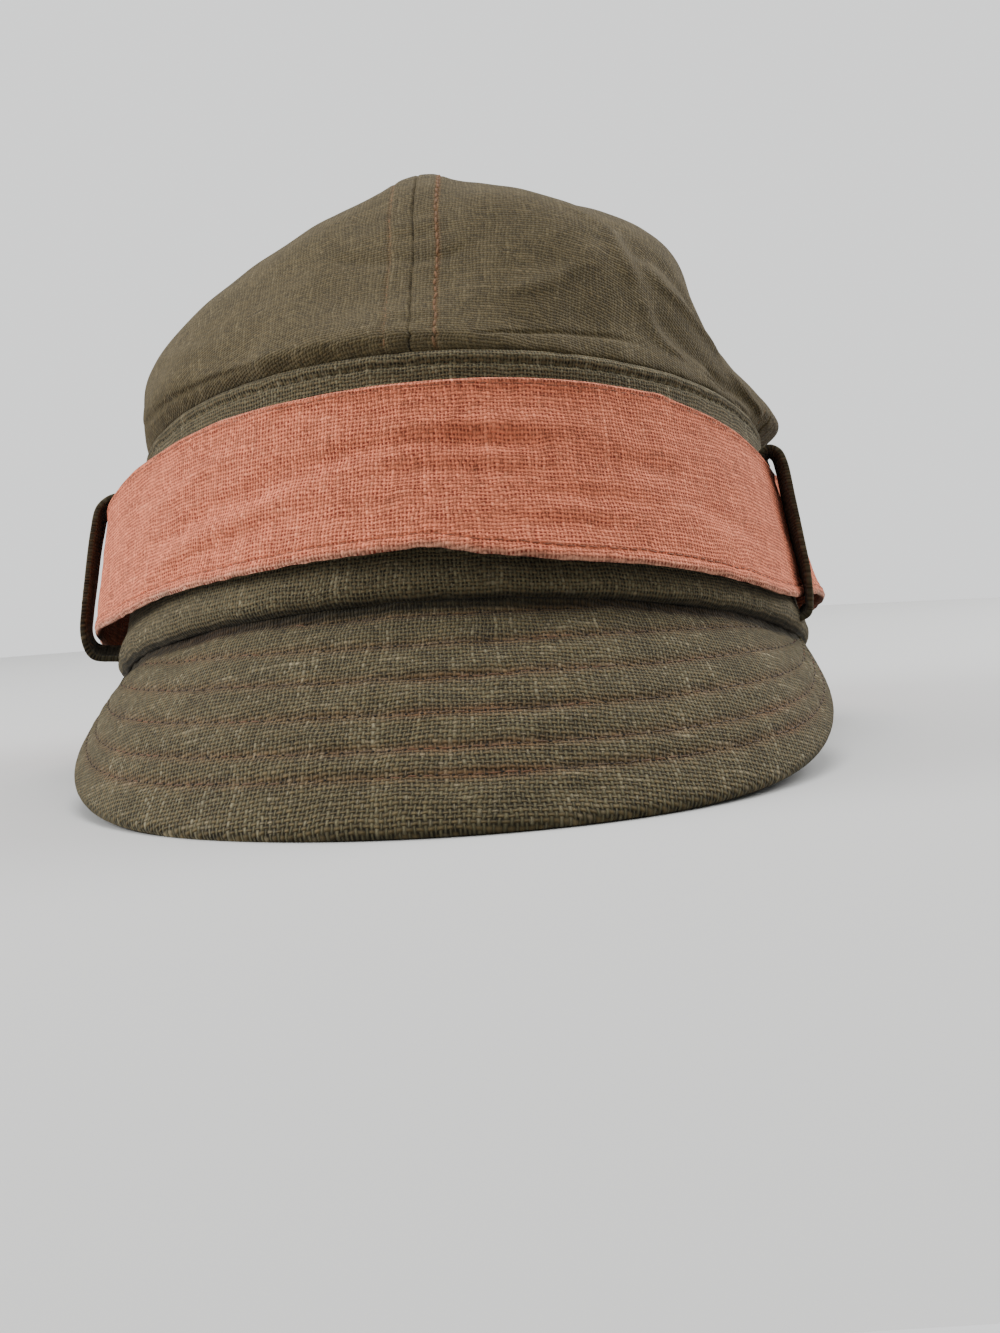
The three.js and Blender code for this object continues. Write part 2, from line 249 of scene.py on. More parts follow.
# %% Find the tilt, and where the frame stands
def rest_tilt():
    root, tip, normal, length = peak_frame(np.sin(np.linspace(-0.5, 0.5, 241) * math.pi))
    under_edge = tip - normal * (PEAK_WALL * PEAK_EDGE_UNDER)
    low, high = 0.0, math.radians(20)
    for _ in range(40):
        middle = (low + high) / 2
        if lean(under_edge, middle)[:, 2].min() < -PEAK_PRESS:
            low = middle
        else:
            high = middle
    return high


TILT = rest_tilt()
ring = lean(beside_band(np.arange(-180, 180, 5.0), BAND_FOLD["up"], BAND_FOLD["out"]), TILT)
band_low, band_high = (np.array(corner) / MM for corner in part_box("headband"))
SHIFT = np.append((band_low + band_high)[:2] / 2 - (ring.min(0) + ring.max(0))[:2] / 2, 0)
print("tilt", round(math.degrees(TILT), 3), "shift", SHIFT.round(2))


def lay_down(points):
    """From the upright draft to the cap at rest, in metres, flattened on the table."""
    laid = lean(points, TILT) + SHIFT
    laid[..., 2] = np.maximum(laid[..., 2], 0)
    return laid * MM


# %% [markdown]
# ## Making a mesh from sections
# Every cloth piece here is lofted: a row of section loops, each going up the outside
# and back down the inside, joined from one to the next. The flat pattern of the cloth
# goes along as a UV map in millimetres, so that the weave keeps its true size.

# %% Section loops, and a mesh put in the scene
def there_and_back(outside, inside=None):
    """Section loops up the outside of a grid and back down its inside. Values that are
    the same on both sides are given once."""
    inside = outside if inside is None else inside
    return np.concatenate([outside, inside[::-1]]).swapaxes(0, 1)


def place_piece(name, mesh):
    mesh.polygons.foreach_set("use_smooth", np.ones(len(mesh.polygons), bool))
    piece = bpy.data.objects.new(name, mesh)
    bpy.context.scene.collection.objects.link(piece)
    print(name, "faces", len(mesh.polygons))
    return piece


# %% Loft section loops into a cloth piece
def loft(name, sections, flat, closed=False, **marks):
    """sections is (columns, points, 3). flat has one more column when closed. marks are
    values at each point, kept under their names for the materials to read."""
    columns, size = sections.shape[:2]
    spans = columns if closed else columns - 1
    c, k = np.meshgrid(np.arange(spans), np.arange(size), indexing="ij")
    corner_c = np.stack([c, c + 1, c + 1, c], -1).reshape(-1, 4)
    corner_k = np.stack([k, k, k + 1, k + 1], -1).reshape(-1, 4) % size
    faces = (corner_c % columns) * size + corner_k
    flat_faces = corner_c * size + corner_k
    if not closed:
        k = np.arange(size // 2 - 1)
        first = np.stack([k, k + 1, size - 2 - k, size - 1 - k], -1)
        last = first[:, ::-1] + (columns - 1) * size
        faces = np.concatenate([faces, first, last])
        flat_faces = np.concatenate([flat_faces, first, last])
    mesh = bpy.data.meshes.new(name)
    mesh.vertices.add(columns * size)
    mesh.vertices.foreach_set("co", lay_down(sections).astype(np.float32).ravel())
    mesh.loops.add(faces.size)
    mesh.loops.foreach_set("vertex_index", faces.astype(np.int32).ravel())
    mesh.polygons.add(len(faces))
    mesh.polygons.foreach_set("loop_start", np.arange(0, faces.size, 4, dtype=np.int32))
    mesh.update(calc_edges=True)
    mesh.validate()
    cloth = mesh.uv_layers.new(name="cloth")
    corners = flat.reshape(-1, 2)[flat_faces.ravel()]
    cloth.uv.foreach_set("vector", corners.astype(np.float32).ravel())
    for label, values in marks.items():
        mark = mesh.attributes.new(label, "FLOAT", "POINT")
        mark.data.foreach_set("value", values.astype(np.float32).ravel())
    return place_piece(name, mesh)


# %% [markdown]
# ## Stitches
# A running stitch shows as short raised dashes of thread with gaps between them. Each
# dash is a small spindle that lies along the seam and sinks a little into the cloth,
# because painted dashes would look flat when the light comes from the side.
# Where the cloth has closed over a row, the thread lies deeper and nearly goes out of
# sight. Thousands of dashes are joined into one mesh, so they cost little.

# %% Even places along a path
def even_path(points, normals, pitch, offset):
    """Middle, direction and normal of each stitch along a path."""
    length = running_length(points[None], 1)[0]
    count = max(1, int(length[-1] / pitch))
    place = (np.arange(count) + offset) * length[-1] / count

    def at(place, values):
        return np.stack([np.interp(place, length, values[:, i]) for i in range(3)], -1)

    return at(place, points), at(place + 0.5, points) - at(place - 0.5, points), at(place, normals)


# %% Rows of stitches as one mesh
STITCH_SIDES = 6
STITCH_RINGS = ((-0.5, 0.05), (-0.42, 0.7), (-0.2, 1.0), (0.2, 1.0), (0.42, 0.7), (0.5, 0.05))
STITCH_FLATNESS = 0.8
STITCH_WANDER = 0.07
CLOSED_PATCH = (13.0, 5.0)


def stitches(name, paths, pitch=3.0, dash=2.1, thick=0.24, sink=0.05, seed=1, offset=0.5, buried=0.0):
    """paths is a list of (points, normals) in the upright draft. buried is how much deeper
    the thread lies in stretches where the cloth has closed over it."""
    random = np.random.default_rng(seed)
    spots = [even_path(points, normals, pitch, offset) for points, normals in paths]
    middle, along, up = (np.concatenate(part) for part in zip(*spots))
    along = unit(along)
    side = unit(np.cross(up, along))
    up = np.cross(along, side)
    along = along + side * random.normal(0, STITCH_WANDER, (len(along), 1))
    middle = middle + side * random.normal(0, STITCH_WANDER, (len(middle), 1)) - up * sink
    closed_over = np.clip(3 * waves(middle[:, :1], middle[:, 1:2], *CLOSED_PATCH, seed), 0, 1)
    middle = middle - up * buried * closed_over
    lengths = dash * random.uniform(0.8, 1.15, (len(middle), 1))
    turn = np.arange(STITCH_SIDES) * 2 * math.pi / STITCH_SIDES
    rings = []
    for place, fat in STITCH_RINGS:
        arch = thick * 0.5 * (1 - (2 * place) ** 2)
        centre = middle + along * lengths * place + up * arch
        sideways = side[:, None] * np.cos(turn)[:, None]
        upwards = up[:, None] * np.sin(turn)[:, None] * STITCH_FLATNESS
        rings.append(centre[:, None] + (sideways + upwards) * thick * fat)
    points = np.stack(rings, 1)
    count, levels, sides = points.shape[:3]
    r, s = np.meshgrid(np.arange(levels - 1), np.arange(sides), indexing="ij")
    after = (s + 1) % sides
    here, there = r * sides, (r + 1) * sides
    quad = np.stack([here + s, here + after, there + after, there + s], -1).reshape(-1, 4)
    faces = (quad[None] + (np.arange(count) * levels * sides)[:, None, None]).reshape(-1, 4)
    mesh = bpy.data.meshes.new(name)
    mesh.from_pydata(lay_down(points).reshape(-1, 3), [], faces.tolist())
    print(name, "stitches", count)
    return place_piece(name, mesh)


# %% [markdown]
# ## The crown
# Four panels of soft linen meet at the apex. They could be draped by simulation, but
# this crown has slumped in its own way, so its sections are read off instead:
# how far each side swells over the band, where it turns over, and where it turns in.

# %% Crown sections and the slack folds in them
crown_at = table_reader(
    ("fold_out", "fold_up", "side_in", "side_up", "top_in", "top_up"),
    [
        (-180, 5, 9, 0.92, 28, 0.60, 46),
        (-145, 6, 9, 0.93, 28, 0.62, 45),
        (-110, 3, 9, 0.94, 27, 0.62, 44),
        (-80, 0, 9, 0.97, 23, 0.63, 44),
        (-45, 3, 6, 0.90, 23, 0.63, 41),
        (0, -1, 4, 0.86, 16, 0.52, 48.6),
        (45, -3, 7, 0.92, 26, 0.76, 41),
        (80, 1.5, 6, 0.86, 25, 0.68, 48),
        (110, 6, 9, 0.90, 29, 0.58, 47),
        (145, 6, 9, 0.92, 28, 0.62, 46),
        (180, 5, 9, 0.92, 28, 0.60, 46),
    ],
)
CROWN_FOLDS = [  # angle, share, spread of the angle, spread of the share, out
    (92, 0.20, 14, 0.10, 2.5),
    (68, 0.18, 9, 0.10, -2.5),
    (76, 0.42, 14, 0.10, -2.0),
    (62, 0.64, 16, 0.12, 1.5),
    (-78, 0.42, 14, 0.12, 1.0),
    (-30, 0.30, 14, 0.12, -1.5),
    (150, 0.30, 16, 0.12, -2.5),
    (-140, 0.35, 18, 0.12, -2.5),
]
PANELS = {  # angles of its first and last seam and of its grain, rust beside the first seam
    "crown_back_left": (-180, -83, -180, 0.3),
    "crown_front_left": (-83, -1, -1, 0.3),
    "crown_front_right": (-1, 83, -1, 1.0),
    "crown_back_right": (83, 180, 180, 0.3),
}
CROWN_GAP = 0.3


# %% A smooth curve through the five points of a section
def through(points, share):
    """Centripetal spline through points, a list of (..., 2) arrays, at shares 0 to 1."""
    points = [2 * points[0] - points[1], *points, 2 * points[-1] - points[-2]]
    stack = np.stack(points)
    place = np.clip(share, 0, 1) * (len(points) - 3)
    low = np.minimum(place.astype(int), len(points) - 4)
    t = (place - low)[..., None]
    index = np.arange(len(share))
    p0, p1, p2, p3 = (stack[low + i, index] for i in range(4))
    d0, d1, d2 = (
        np.maximum(np.linalg.norm(b - a, axis=-1, keepdims=True), 1e-4) ** 0.5
        for a, b in ((p0, p1), (p1, p2), (p2, p3))
    )
    m1 = ((p1 - p0) / d0 - (p2 - p0) / (d0 + d1) + (p2 - p1) / d1) * d1
    m2 = ((p2 - p1) / d1 - (p3 - p1) / (d1 + d2) + (p3 - p2) / d2) * d1
    return (
        p1
        + m1 * t
        + (3 * (p2 - p1) - 2 * m1 - m2) * t**2
        + (2 * (p1 - p2) + m1 + m2) * t**3
    )


# %% The crown's bare surface
def crown_surface(angle, share):
    shape = np.broadcast(angle, share).shape
    angle = np.broadcast_to(angle, shape).ravel()
    share = np.broadcast_to(share, shape).ravel()
    row = crown_at(angle)
    seam_x, seam_y = oval(angle, *SEAM_HALF)
    radius = np.hypot(seam_x, seam_y)
    base = rim_height(angle) + band_height(angle) + CROWN_GAP
    profile = through(
        [
            np.stack([radius, base], -1),
            np.stack([radius + row["fold_out"], base + row["fold_up"]], -1),
            np.stack([radius * row["side_in"], base + row["side_up"]], -1),
            np.stack([radius * row["top_in"], base + row["top_up"]], -1),
            np.stack([0.05 + 0 * radius, APEX[2] + 0 * radius], -1),
        ],
        share,
    )
    puff = sum(
        out * bell(angle - at, spread) * bell(share - height, height_spread)
        for at, height, spread, height_spread, out in CROWN_FOLDS
    )
    reach = (profile[:, 0] + puff) / radius
    to_apex = np.maximum(0, 1 - reach)
    x = seam_x * reach + APEX[0] * to_apex
    y = seam_y * reach + APEX[1] * to_apex
    return np.stack([x, y, profile[:, 1]], -1).reshape(*shape, 3)


# %% Spread the rows from the band to the apex, closest at the band
BAND_CROWDING = 0.55


def row_shares(count):
    fine = np.linspace(0, 1, 400)
    length = running_length(crown_surface(np.full(400, 20.0), fine)[None], 1)[0]
    t = np.linspace(0, 1, count)
    return np.interp(length[-1] * (t - BAND_CROWDING * np.sin(math.pi * t) / math.pi), length, fine)


PANEL_ROWS = 150
PANEL_COLUMNS = 132
CROWN_SHARES = row_shares(PANEL_ROWS)
print("crown apex height", APEX[2], "rows", PANEL_ROWS)

# %% [markdown]
# ## Seams and creases of the crown
# Where two panels join, the cloth dips into the seam, stands up over the allowance
# folded beneath it, and is held down again by a row of topstitching on each side. The
# crown's lower edge turns under where it meets the band. Creases could be sculpted, but
# a list can be read and changed: each is given from end to end by angle and share.

# %% Creases of this crown, each through four places
CREASES = [  # four places of angle and share, width, out
    ((33, 0.74), (40, 0.64), (40, 0.51), (41.5, 0.40), 1.7, 0.8),
    ((41.5, 0.40), (43, 0.32), (46, 0.23), (51, 0.14), 2.0, 0.7),
    ((38, 0.72), (44, 0.64), (44.5, 0.52), (46, 0.42), 2.2, -0.7),
    ((43, 0.52), (48, 0.43), (57, 0.37), (67, 0.31), 1.6, 0.9),
    ((67, 0.31), (72, 0.26), (76, 0.18), (79, 0.10), 2.0, 0.8),
    ((47, 0.56), (53, 0.48), (62, 0.42), (70, 0.37), 2.4, -1.0),
    ((44, 0.35), (50, 0.28), (60, 0.22), (66, 0.12), 3.6, -0.9),
    ((54, 0.14), (60, 0.09), (66, 0.05), (72, 0.02), 2.4, -1.2),
    ((-19, 0.585), (-14, 0.577), (-9, 0.572), (-4, 0.57), 1.6, -0.4),
    ((-6, 0.575), (0, 0.566), (6, 0.568), (11, 0.58), 1.4, -0.4),
    ((-70, 0.16), (-56, 0.13), (-42, 0.12), (-28, 0.13), 3.6, -0.6),
    ((-62, 0.42), (-54, 0.38), (-44, 0.35), (-34, 0.34), 4.6, 0.6),
    ((10, 0.20), (20, 0.22), (30, 0.22), (40, 0.19), 3.0, -0.6),
    ((16, 0.42), (24, 0.44), (31, 0.49), (36, 0.56), 4.5, 0.6),
    ((102, 0.32), (112, 0.25), (122, 0.20), (134, 0.16), 3.4, -1.2),
    ((104, 0.50), (112, 0.46), (120, 0.41), (128, 0.35), 3.2, 1.0),
    ((-130, 0.14), (-122, 0.18), (-112, 0.24), (-102, 0.30), 3.4, -1.2),
    ((-152, 0.34), (-142, 0.40), (-130, 0.43), (-120, 0.44), 3.6, 1.0),
    ((156, 0.16), (162, 0.26), (168, 0.38), (172, 0.50), 3.6, -1.0),
]

# %% Relief of the creases
MEAN_RADIUS = 84
APEX_RADIUS = 3
BAND_TO_APEX = 130
SEAM_MM_PER_DEGREE = 1.35


def on_crown(angle, share):
    """Places on the crown as if it were rolled out flat, good enough for a crease."""
    radius = MEAN_RADIUS * np.cos(share * math.pi / 2) + APEX_RADIUS
    return np.stack(np.broadcast_arrays(np.radians(angle) * radius, share * BAND_TO_APEX), -1)


def crease_relief(angle, share):
    """A soft ridge or hollow about each crease, fading at its two ends."""
    total = np.zeros(np.broadcast(angle, share).shape)
    here = on_crown(angle, share)
    for *places, width, out in CREASES:
        path = on_crown(*np.array(places, float).T)
        middle = (path[1] + path[2]) / 2
        reach = running_length(path[None], 1).max() / 2
        ends = step_down(np.linalg.norm(here - middle, axis=-1), 0.55 * reach, 1.15 * reach)
        total += out * bell(distance_to_path(here, path), width) * ends
    return total


# %% Relief of one crown panel
ALLOWANCE = 5.3
SEAM_WANDER = 0.45


def seam_wander(seam, share):
    """Degrees that a seam strays from its straight line. The same seam gives the same wander."""
    return SEAM_WANDER * waves(share * BAND_TO_APEX, seam % 360, 10.0, 50.0, 6)


def crown_relief(angle, share, from_seam, up):
    """Millimetres outwards. lump is the allowance folded under the cloth by a seam."""
    round_seam = angle * SEAM_MM_PER_DEGREE
    lump = 0.25 + 0.75 * step_down(share, 0.76, 0.55)
    groove = (0.45 + 0.4 * waves(up, angle, 5.0, 40.0, 8)) * step_down(share, 0.7, 0.9)
    seam = lump * step_down(from_seam, 3.0, 9.0) - groove * bell(from_seam, 0.3)
    topstitch = -0.22 * bell(from_seam - ALLOWANCE, 0.5)
    puckers = 0.3 * waves(up, from_seam, 4.4, 14.0, 1) * bell(from_seam, 7.0)
    turned_edge = -0.4 * bell(up, 0.8) + 0.25 * bell(up - 3.4, 2.4)
    gathers = 0.5 * waves(round_seam, up, 5.5, 20.0, 2) * bell(up, 12.0)
    slack = 1.1 * waves(round_seam, up, 34.0, 30.0, 3) + 0.5 * waves(round_seam, up, 13.0, 12.0, 4)
    slack = slack * np.clip(from_seam / 12, 0.25, 1) * np.clip(share * 5, 0, 1)
    more_at_back = 1.7 - 0.7 * step_down(np.abs(angle), 95, 130)
    before_apex = np.clip((1 - share) * 10, 0, 1)
    apex_knot = 1.3 * bell(1 - share, 0.11)
    relief = seam + topstitch + puckers + gathers + slack * more_at_back + crease_relief(angle, share)
    return relief * before_apex + turned_edge + apex_knot


# %% Build the four panels
SEAM_CROWDING = 0.6
INSIDE_FOLLOWS = 0.6
PLAIN_RUST = 0.3


def crown_panel(name, start, end, grain, first_rust):
    t = np.linspace(0, 1, PANEL_COLUMNS)[None]
    across = t - SEAM_CROWDING * np.sin(2 * math.pi * t) / (2 * math.pi)
    share = CROWN_SHARES[:, None]
    start_line, end_line = start + seam_wander(start, share), end + seam_wander(end, share)
    angle = start_line + (end_line - start_line) * across
    grid = crown_surface(angle, share + 0 * across)
    grid[0, :, 2] -= CROWN_GAP
    normals = grid_normals(grid)
    run = running_length(grid, 1)
    up = running_length(grid, 0)
    from_seam = np.minimum(run, run[:, -1:] - run)
    relief = crown_relief(angle, share, from_seam, up)
    outside = grid + normals * relief[..., None]
    level = np.clip(share * 8, 0, 1)[..., None]
    inward = normals * np.concatenate([np.ones_like(level)] * 2 + [level], -1)
    hollows = np.minimum(relief, 0)[..., None]
    inside = grid - inward * CROWN_WALL + normals * hollows * INSIDE_FOLLOWS
    to_apex = up[-1:] - up
    turn = (run - (run[:, -1:] if grain == end else 0)) / np.maximum(to_apex, 1)
    flat = np.stack([to_apex * np.sin(turn), -to_apex * np.cos(turn)], -1)
    rust = np.where(run < run[:, -1:] / 2, first_rust, PLAIN_RUST)
    rust = rust * (0.5 + 0.5 * step_down(share, 0.7, 0.4))
    rust = rust * bell(from_seam - ALLOWANCE, 0.5) * step_down(share, 0.9, 0.96)
    sections = there_and_back(outside, inside)
    return loft(name, sections, there_and_back(flat), wear=there_and_back(rust)), outside, normals


panels = {name: crown_panel(name + "_cloth", *row) for name, row in PANELS.items()}

# %% [markdown]
# ## Topstitching on the crown
# The rows follow the panel seams at the edge of the folded allowance. Because each
# panel's surface is a grid, a row is simply the line of grid places that lie that far
# from the seam, which keeps the thread exactly on the cloth.

# %% Rows beside each crown seam
def row_beside_seam(outside, normals, distance):
    """Points of a panel's surface at a set distance from the seam where its rows begin."""
    run = running_length(outside, 1)
    rows = [row for row in range(2, len(outside)) if run[row, -1] > distance * 2.5]

    def at(values, row):
        return [np.interp(distance, run[row], values[row, :, i]) for i in range(3)]

    return tuple(np.array([at(values, row) for row in rows]) for values in (outside, normals))


def seam_row(name, side):
    _, outside, normals = panels[name]
    return row_beside_seam(outside[:, ::side], normals[:, ::side], ALLOWANCE)


RUST_SEAM = ("crown_front_right", 1)
OTHER_SEAMS = [(name, side) for name in PANELS for side in (1, -1) if (name, side) != RUST_SEAM]
front_row = stitches(
    "stitches_front", [seam_row(*RUST_SEAM)], pitch=2.5, dash=2.4, thick=0.3, sink=0.12, seed=3
)
other_rows = [seam_row(*seam) for seam in OTHER_SEAMS]
crown_thread = stitches("stitches_crown", other_rows, pitch=2.9, dash=1.7, thick=0.17, sink=0.16, seed=4)

# %% [markdown]
# ## The headband
# The band is a folded strip that leans in from the rim to the crown. Its lower edge is
# a plump fold that hangs over the peak. Along the top runs a narrow roll, the seam's
# allowances turned down, with a row of topstitching in the groove beneath it. A picture
# of relief could show the roll and fold, but not their outline, so they are shape: one
# section is drawn and carried round the ring.

# %% Section of the headband
band_section = table_reader(
    ("out", "wall"),
    [
        (0.0, -1.3, 0.9),
        (0.015, -0.1, 2.4),
        (0.05, 1.2, 3.8),
        (0.1, 1.0, 3.5),
        (0.17, 0.0, 2.4),
        (0.45, 0.0, 2.2),
        (1.0, 0.0, 2.2),
    ],
)
RING_COLUMNS = 760
FRONT_CROWDING = 0.3
BAND_ROLL = 2.8
BAND_PITCH = 3.05
FOLD_PITCH = 1.55
FOLD_ROWS = (2.7, 4.1)


def fold_rows(height):
    """Heights up the band, close together round the lower fold and near the seam."""
    low = [0, 0.25, 0.6, 1.0, 1.5, 2.0, 2.4, 2.7, 3.0, 3.4, 3.8, 4.1, 4.4, 4.8, 5.3, 6.0]
    high = [4.6, 3.9, 3.4, 3.1, 2.8, 2.5, 2.2, 1.8, 1.4, 1.0, 0.6, 0.3, 0]
    return np.concatenate([low, np.linspace(7.2, height - 6, 28), height - np.array(high)])


# %% Build the headband
turn = np.linspace(-1, 1, RING_COLUMNS + 1)
ring_angles = 180 * (turn - FRONT_CROWDING * np.sin(math.pi * turn) / math.pi)
ups = fold_rows(FRONT_HEIGHT)[:, None]
stretch = band_height(ring_angles) / FRONT_HEIGHT
band_up = ups * stretch
section = band_section(ups / FRONT_HEIGHT)
band_base = beside_band(ring_angles[None], band_up, section["out"])
band_normals = grid_normals(band_base)


def run_from_front(grid):
    """Length round the middle row, 0 at the front, the same for every row."""
    middle = running_length(grid, 1)[len(grid) // 2]
    return middle - np.interp(0, ring_angles, middle)


band_run = run_from_front(band_base) + 0 * band_up
from_top = FRONT_HEIGHT - ups
dimples = 0.6 + 0.4 * np.cos(2 * math.pi * band_run / BAND_PITCH)
fold_dimples = 0.55 + 0.45 * np.cos(2 * math.pi * band_run / FOLD_PITCH)
band_relief = (
    0.55 * bell(from_top - 1.4, 0.9)  # the roll of allowances
    - 0.6 * bell(from_top - BAND_ROLL, 0.4) * dimples  # its topstitched groove
    + 0.3 * bell(from_top - 4.0, 0.8)  # cloth pushed up below the groove
    - 0.3 * bell(from_top, 0.4)  # turned in at the crown
    + 0.25 * waves(band_run, band_up, 9.0, 16.0, 11) * step_down(band_up, 5, 14)  # a lumpy fold
    + 0.22 * waves(band_run, band_up, 6.0, 9.0, 12) * bell(from_top - 3, 5.0)  # puckers above
    - 0.38 * sum(bell(band_up - row, 0.32) for row in FOLD_ROWS) * fold_dimples  # rows in the fold
)
band_outside = band_base + band_normals * band_relief[..., None]
band_inside = beside_band(ring_angles[None], band_up, section["out"] - section["wall"])
band_flat = np.stack([band_run, band_up], -1)
# Painted shade: the band is darkened towards the bottom of its lower fold, where the fold lies in shade over
# the peak.
band_soil = 0.65 * step_down(band_up, 0.3, 1.4)
headband = loft(
    "headband_cloth",
    there_and_back(band_outside, band_inside)[:-1],
    there_and_back(band_flat),
    closed=True,
    soil=there_and_back(band_soil)[:-1],
)


# %% Topstitching round the band
def ring_row(grid, normals, heights, height):
    """A whole row round a ring-shaped grid at one height."""
    low = int(np.clip(np.searchsorted(heights, height) - 1, 0, len(heights) - 2))
    t = (height - heights[low]) / (heights[low + 1] - heights[low])
    return grid[low] * (1 - t) + grid[low + 1] * t, normals[low]


band_heights = ups[:, 0]
band_rows = [ring_row(band_outside, band_normals, band_heights, FRONT_HEIGHT - BAND_ROLL)]
band_thread = stitches("stitches_band", band_rows, pitch=BAND_PITCH, dash=1.7, thick=0.15, sink=0.1, seed=5)

# %% [markdown]
# ## The strap
# A separate strip of coral linen runs round the band. Its two long edges are turned in
# and topstitched, so they are a little thicker and stiffer than the middle. It hugs the
# band in front and stands away from it at the sides, where the loops hold it. A draped
# strap would find creases of its own, so a table says where this one runs and each of
# its creases is laid in.

# %% Where the strap runs
strap_at = table_reader(
    ("low", "width", "low_out", "high_out"),
    [
        (-180, 8.0, 35.5, 2.0, 2.0),
        (-135, 7.5, 35.2, 4.0, 4.0),
        (-100, 8.6, 33.0, 7.5, 8.6),
        (-80, 11.2, 30.2, 8.2, 9.2),
        (-60, 9.2, 33.6, 4.4, 5.0),
        (-40, 9.6, 34.4, 2.4, 2.4),
        (-20, 9.4, 34.8, 2.0, 2.0),
        (0, 9.2, 35.4, 1.8, 1.8),
        (14, 7.4, 37.6, 1.9, 1.9),
        (35, 6.6, 38.4, 2.3, 2.2),
        (55, 6.0, 36.8, 2.5, 2.2),
        (66, 6.8, 34.1, 2.4, 1.9),
        (76, 9.6, 30.6, 2.5, 1.9),
        (88, 13.6, 28.2, 6.0, 3.2),
        (99, 14.6, 28.6, 10.8, 5.6),
        (120, 9.6, 33.6, 6.0, 4.0),
        (180, 8.0, 35.5, 2.0, 2.0),
    ],
)
LOW_HEM = 2.7
HIGH_HEM = 1.2
LOW_EDGE_LIFT = 3.8
LIFT_ANGLE = 12
LIFT_SPREAD = 34
EDGE_WAVES = [  # angle, spread, lift of the low edge, lift of the high edge
    (0.5, 4, 0.8, 0.0),
    (20, 9, -0.4, 0.0),
    (39, 2.5, 0.0, 0.6),
    (-30, 9, -0.3, 0.2),
    (58, 5, -0.3, 0.0),
]
STRAP_CREASES = [  # angle, spread, height as a share, width, slant, out
    (9, 9, 0.64, 1.6, 0.02, -1.0),
    (9, 12, 0.74, 1.8, 0.02, 0.6),
    (4, 16, 0.47, 1.8, 0.03, -0.6),
    (22, 10, 0.36, 2.0, -0.05, -0.7),
    (20, 9, 0.20, 1.6, 0.02, -0.45),
    (-14, 12, 0.60, 2.0, 0.12, -0.6),
    (-22, 10, 0.50, 1.8, 0.20, -0.9),
    (-36, 13, 0.44, 2.2, 0.26, -0.9),
    (-40, 12, 0.68, 2.4, 0.30, 0.7),
    (-30, 14, 0.24, 2.0, 0.20, -0.7),
    (-44, 10, 0.20, 2.2, 0.30, 0.6),
    (34, 12, 0.56, 2.4, -0.10, -0.5),
    (50, 10, 0.35, 2.4, -0.20, -0.5),
]

# %% Rows up the strap, close together at its edges
STRAP_LOW_ROWS = [0, 0.2, 0.5, 0.9, 1.4, 1.9, 2.2, 2.45, 2.7, 2.95, 3.2, 3.7, 4.4]
STRAP_HIGH_ROWS = [2.6, 2.0, 1.7, 1.45, 1.2, 0.95, 0.7, 0.4, 0.15, 0]
MEAN_WIDTH = 35.4
STRAP_MM_PER_DEGREE = 1.45
DEEPEST_CREASE = -0.95
# Painted shade: the whole inside face of the strap is darkened, as if in shade against the band.
BEHIND_STRAP_PAINTED_SHADE = 0.6

# %% The strap's bare surface
strap_row = strap_at(ring_angles)
high_rows = MEAN_WIDTH - np.array(STRAP_HIGH_ROWS)
strap_heights = np.concatenate([STRAP_LOW_ROWS, np.linspace(5.2, 32, 32), high_rows])
share = strap_heights[:, None] / MEAN_WIDTH
low_lift = sum(lift * bell(ring_angles - at, spread) for at, spread, lift, _ in EDGE_WAVES)
high_lift = sum(lift * bell(ring_angles - at, spread) for at, spread, _, lift in EDGE_WAVES)
low_lift += 0.22 * waves(ring_angles * STRAP_MM_PER_DEGREE, 0 * ring_angles, 3.2, 1, 25)
strap_width = strap_row["width"] + high_lift - low_lift
strap_up = strap_row["low"] + low_lift + strap_width * share
strap_out = strap_row["low_out"] + (strap_row["high_out"] - strap_row["low_out"]) * share
strap_out += LOW_EDGE_LIFT * bell(ring_angles - LIFT_ANGLE, LIFT_SPREAD) * (1 - share) ** 1.5
strap_base = beside_band(ring_angles[None], strap_up, strap_out)
strap_normals = grid_normals(strap_base)
strap_run = run_from_front(strap_base) + 0 * strap_up

# %% Build the strap
from_low, from_high = share * strap_width, (1 - share) * strap_width
rounding = 0.6 * bell(from_low, 0.4) + 0.45 * bell(from_high, 0.3)
folded = np.maximum(step_down(from_low, 2.9, 3.9), step_down(from_high, 1.3, 2.2))


def strap_crease(at, spread, height, width, slant, out):
    away = (share - height) * strap_width - slant * (ring_angles - at)
    return out * bell(ring_angles - at, spread) * bell(away, width)


strap_relief = (
    0.35 * folded  # double cloth at both edges
    - 0.4 * bell(from_low - LOW_HEM, 0.4)  # the groove of each hem
    - 0.3 * bell(from_high - HIGH_HEM, 0.32)
    - rounding
    + 0.28 * waves(strap_run, strap_up, 34.0, 8.0, 21)  # slack, in three sizes
    + 0.22 * waves(strap_run, strap_up, 9.0, 5.0, 22)
    + 0.4 * waves(strap_run, strap_up, 3.4, 30.0, 23) * bell(from_low, 2.2)  # puckered low hem
    + 0.22 * waves(strap_run, strap_up, 22.0, 5.0, 24)
    + sum(strap_crease(*row) for row in STRAP_CREASES)
)
strap_relief = np.maximum(strap_relief, DEEPEST_CREASE)
strap_outside = strap_base + strap_normals * strap_relief[..., None]
strap_inside = strap_base - strap_normals * (STRAP_WALL - rounding - 0.25 * folded)[..., None]
strap_flat = np.stack([strap_run, strap_up], -1)
rubbed = 1.2 * bell(from_low, 1.0) + 0.3 * bell(from_high, 0.6)
strap = loft(
    "strap_cloth",
    there_and_back(strap_outside, strap_inside)[:-1],
    there_and_back(strap_flat),
    closed=True,
    wear=there_and_back(rubbed)[:-1],
    # painted shade on the strap's inside face
    soil=there_and_back(0 * rubbed, 0 * rubbed + BEHIND_STRAP_PAINTED_SHADE)[:-1],
)

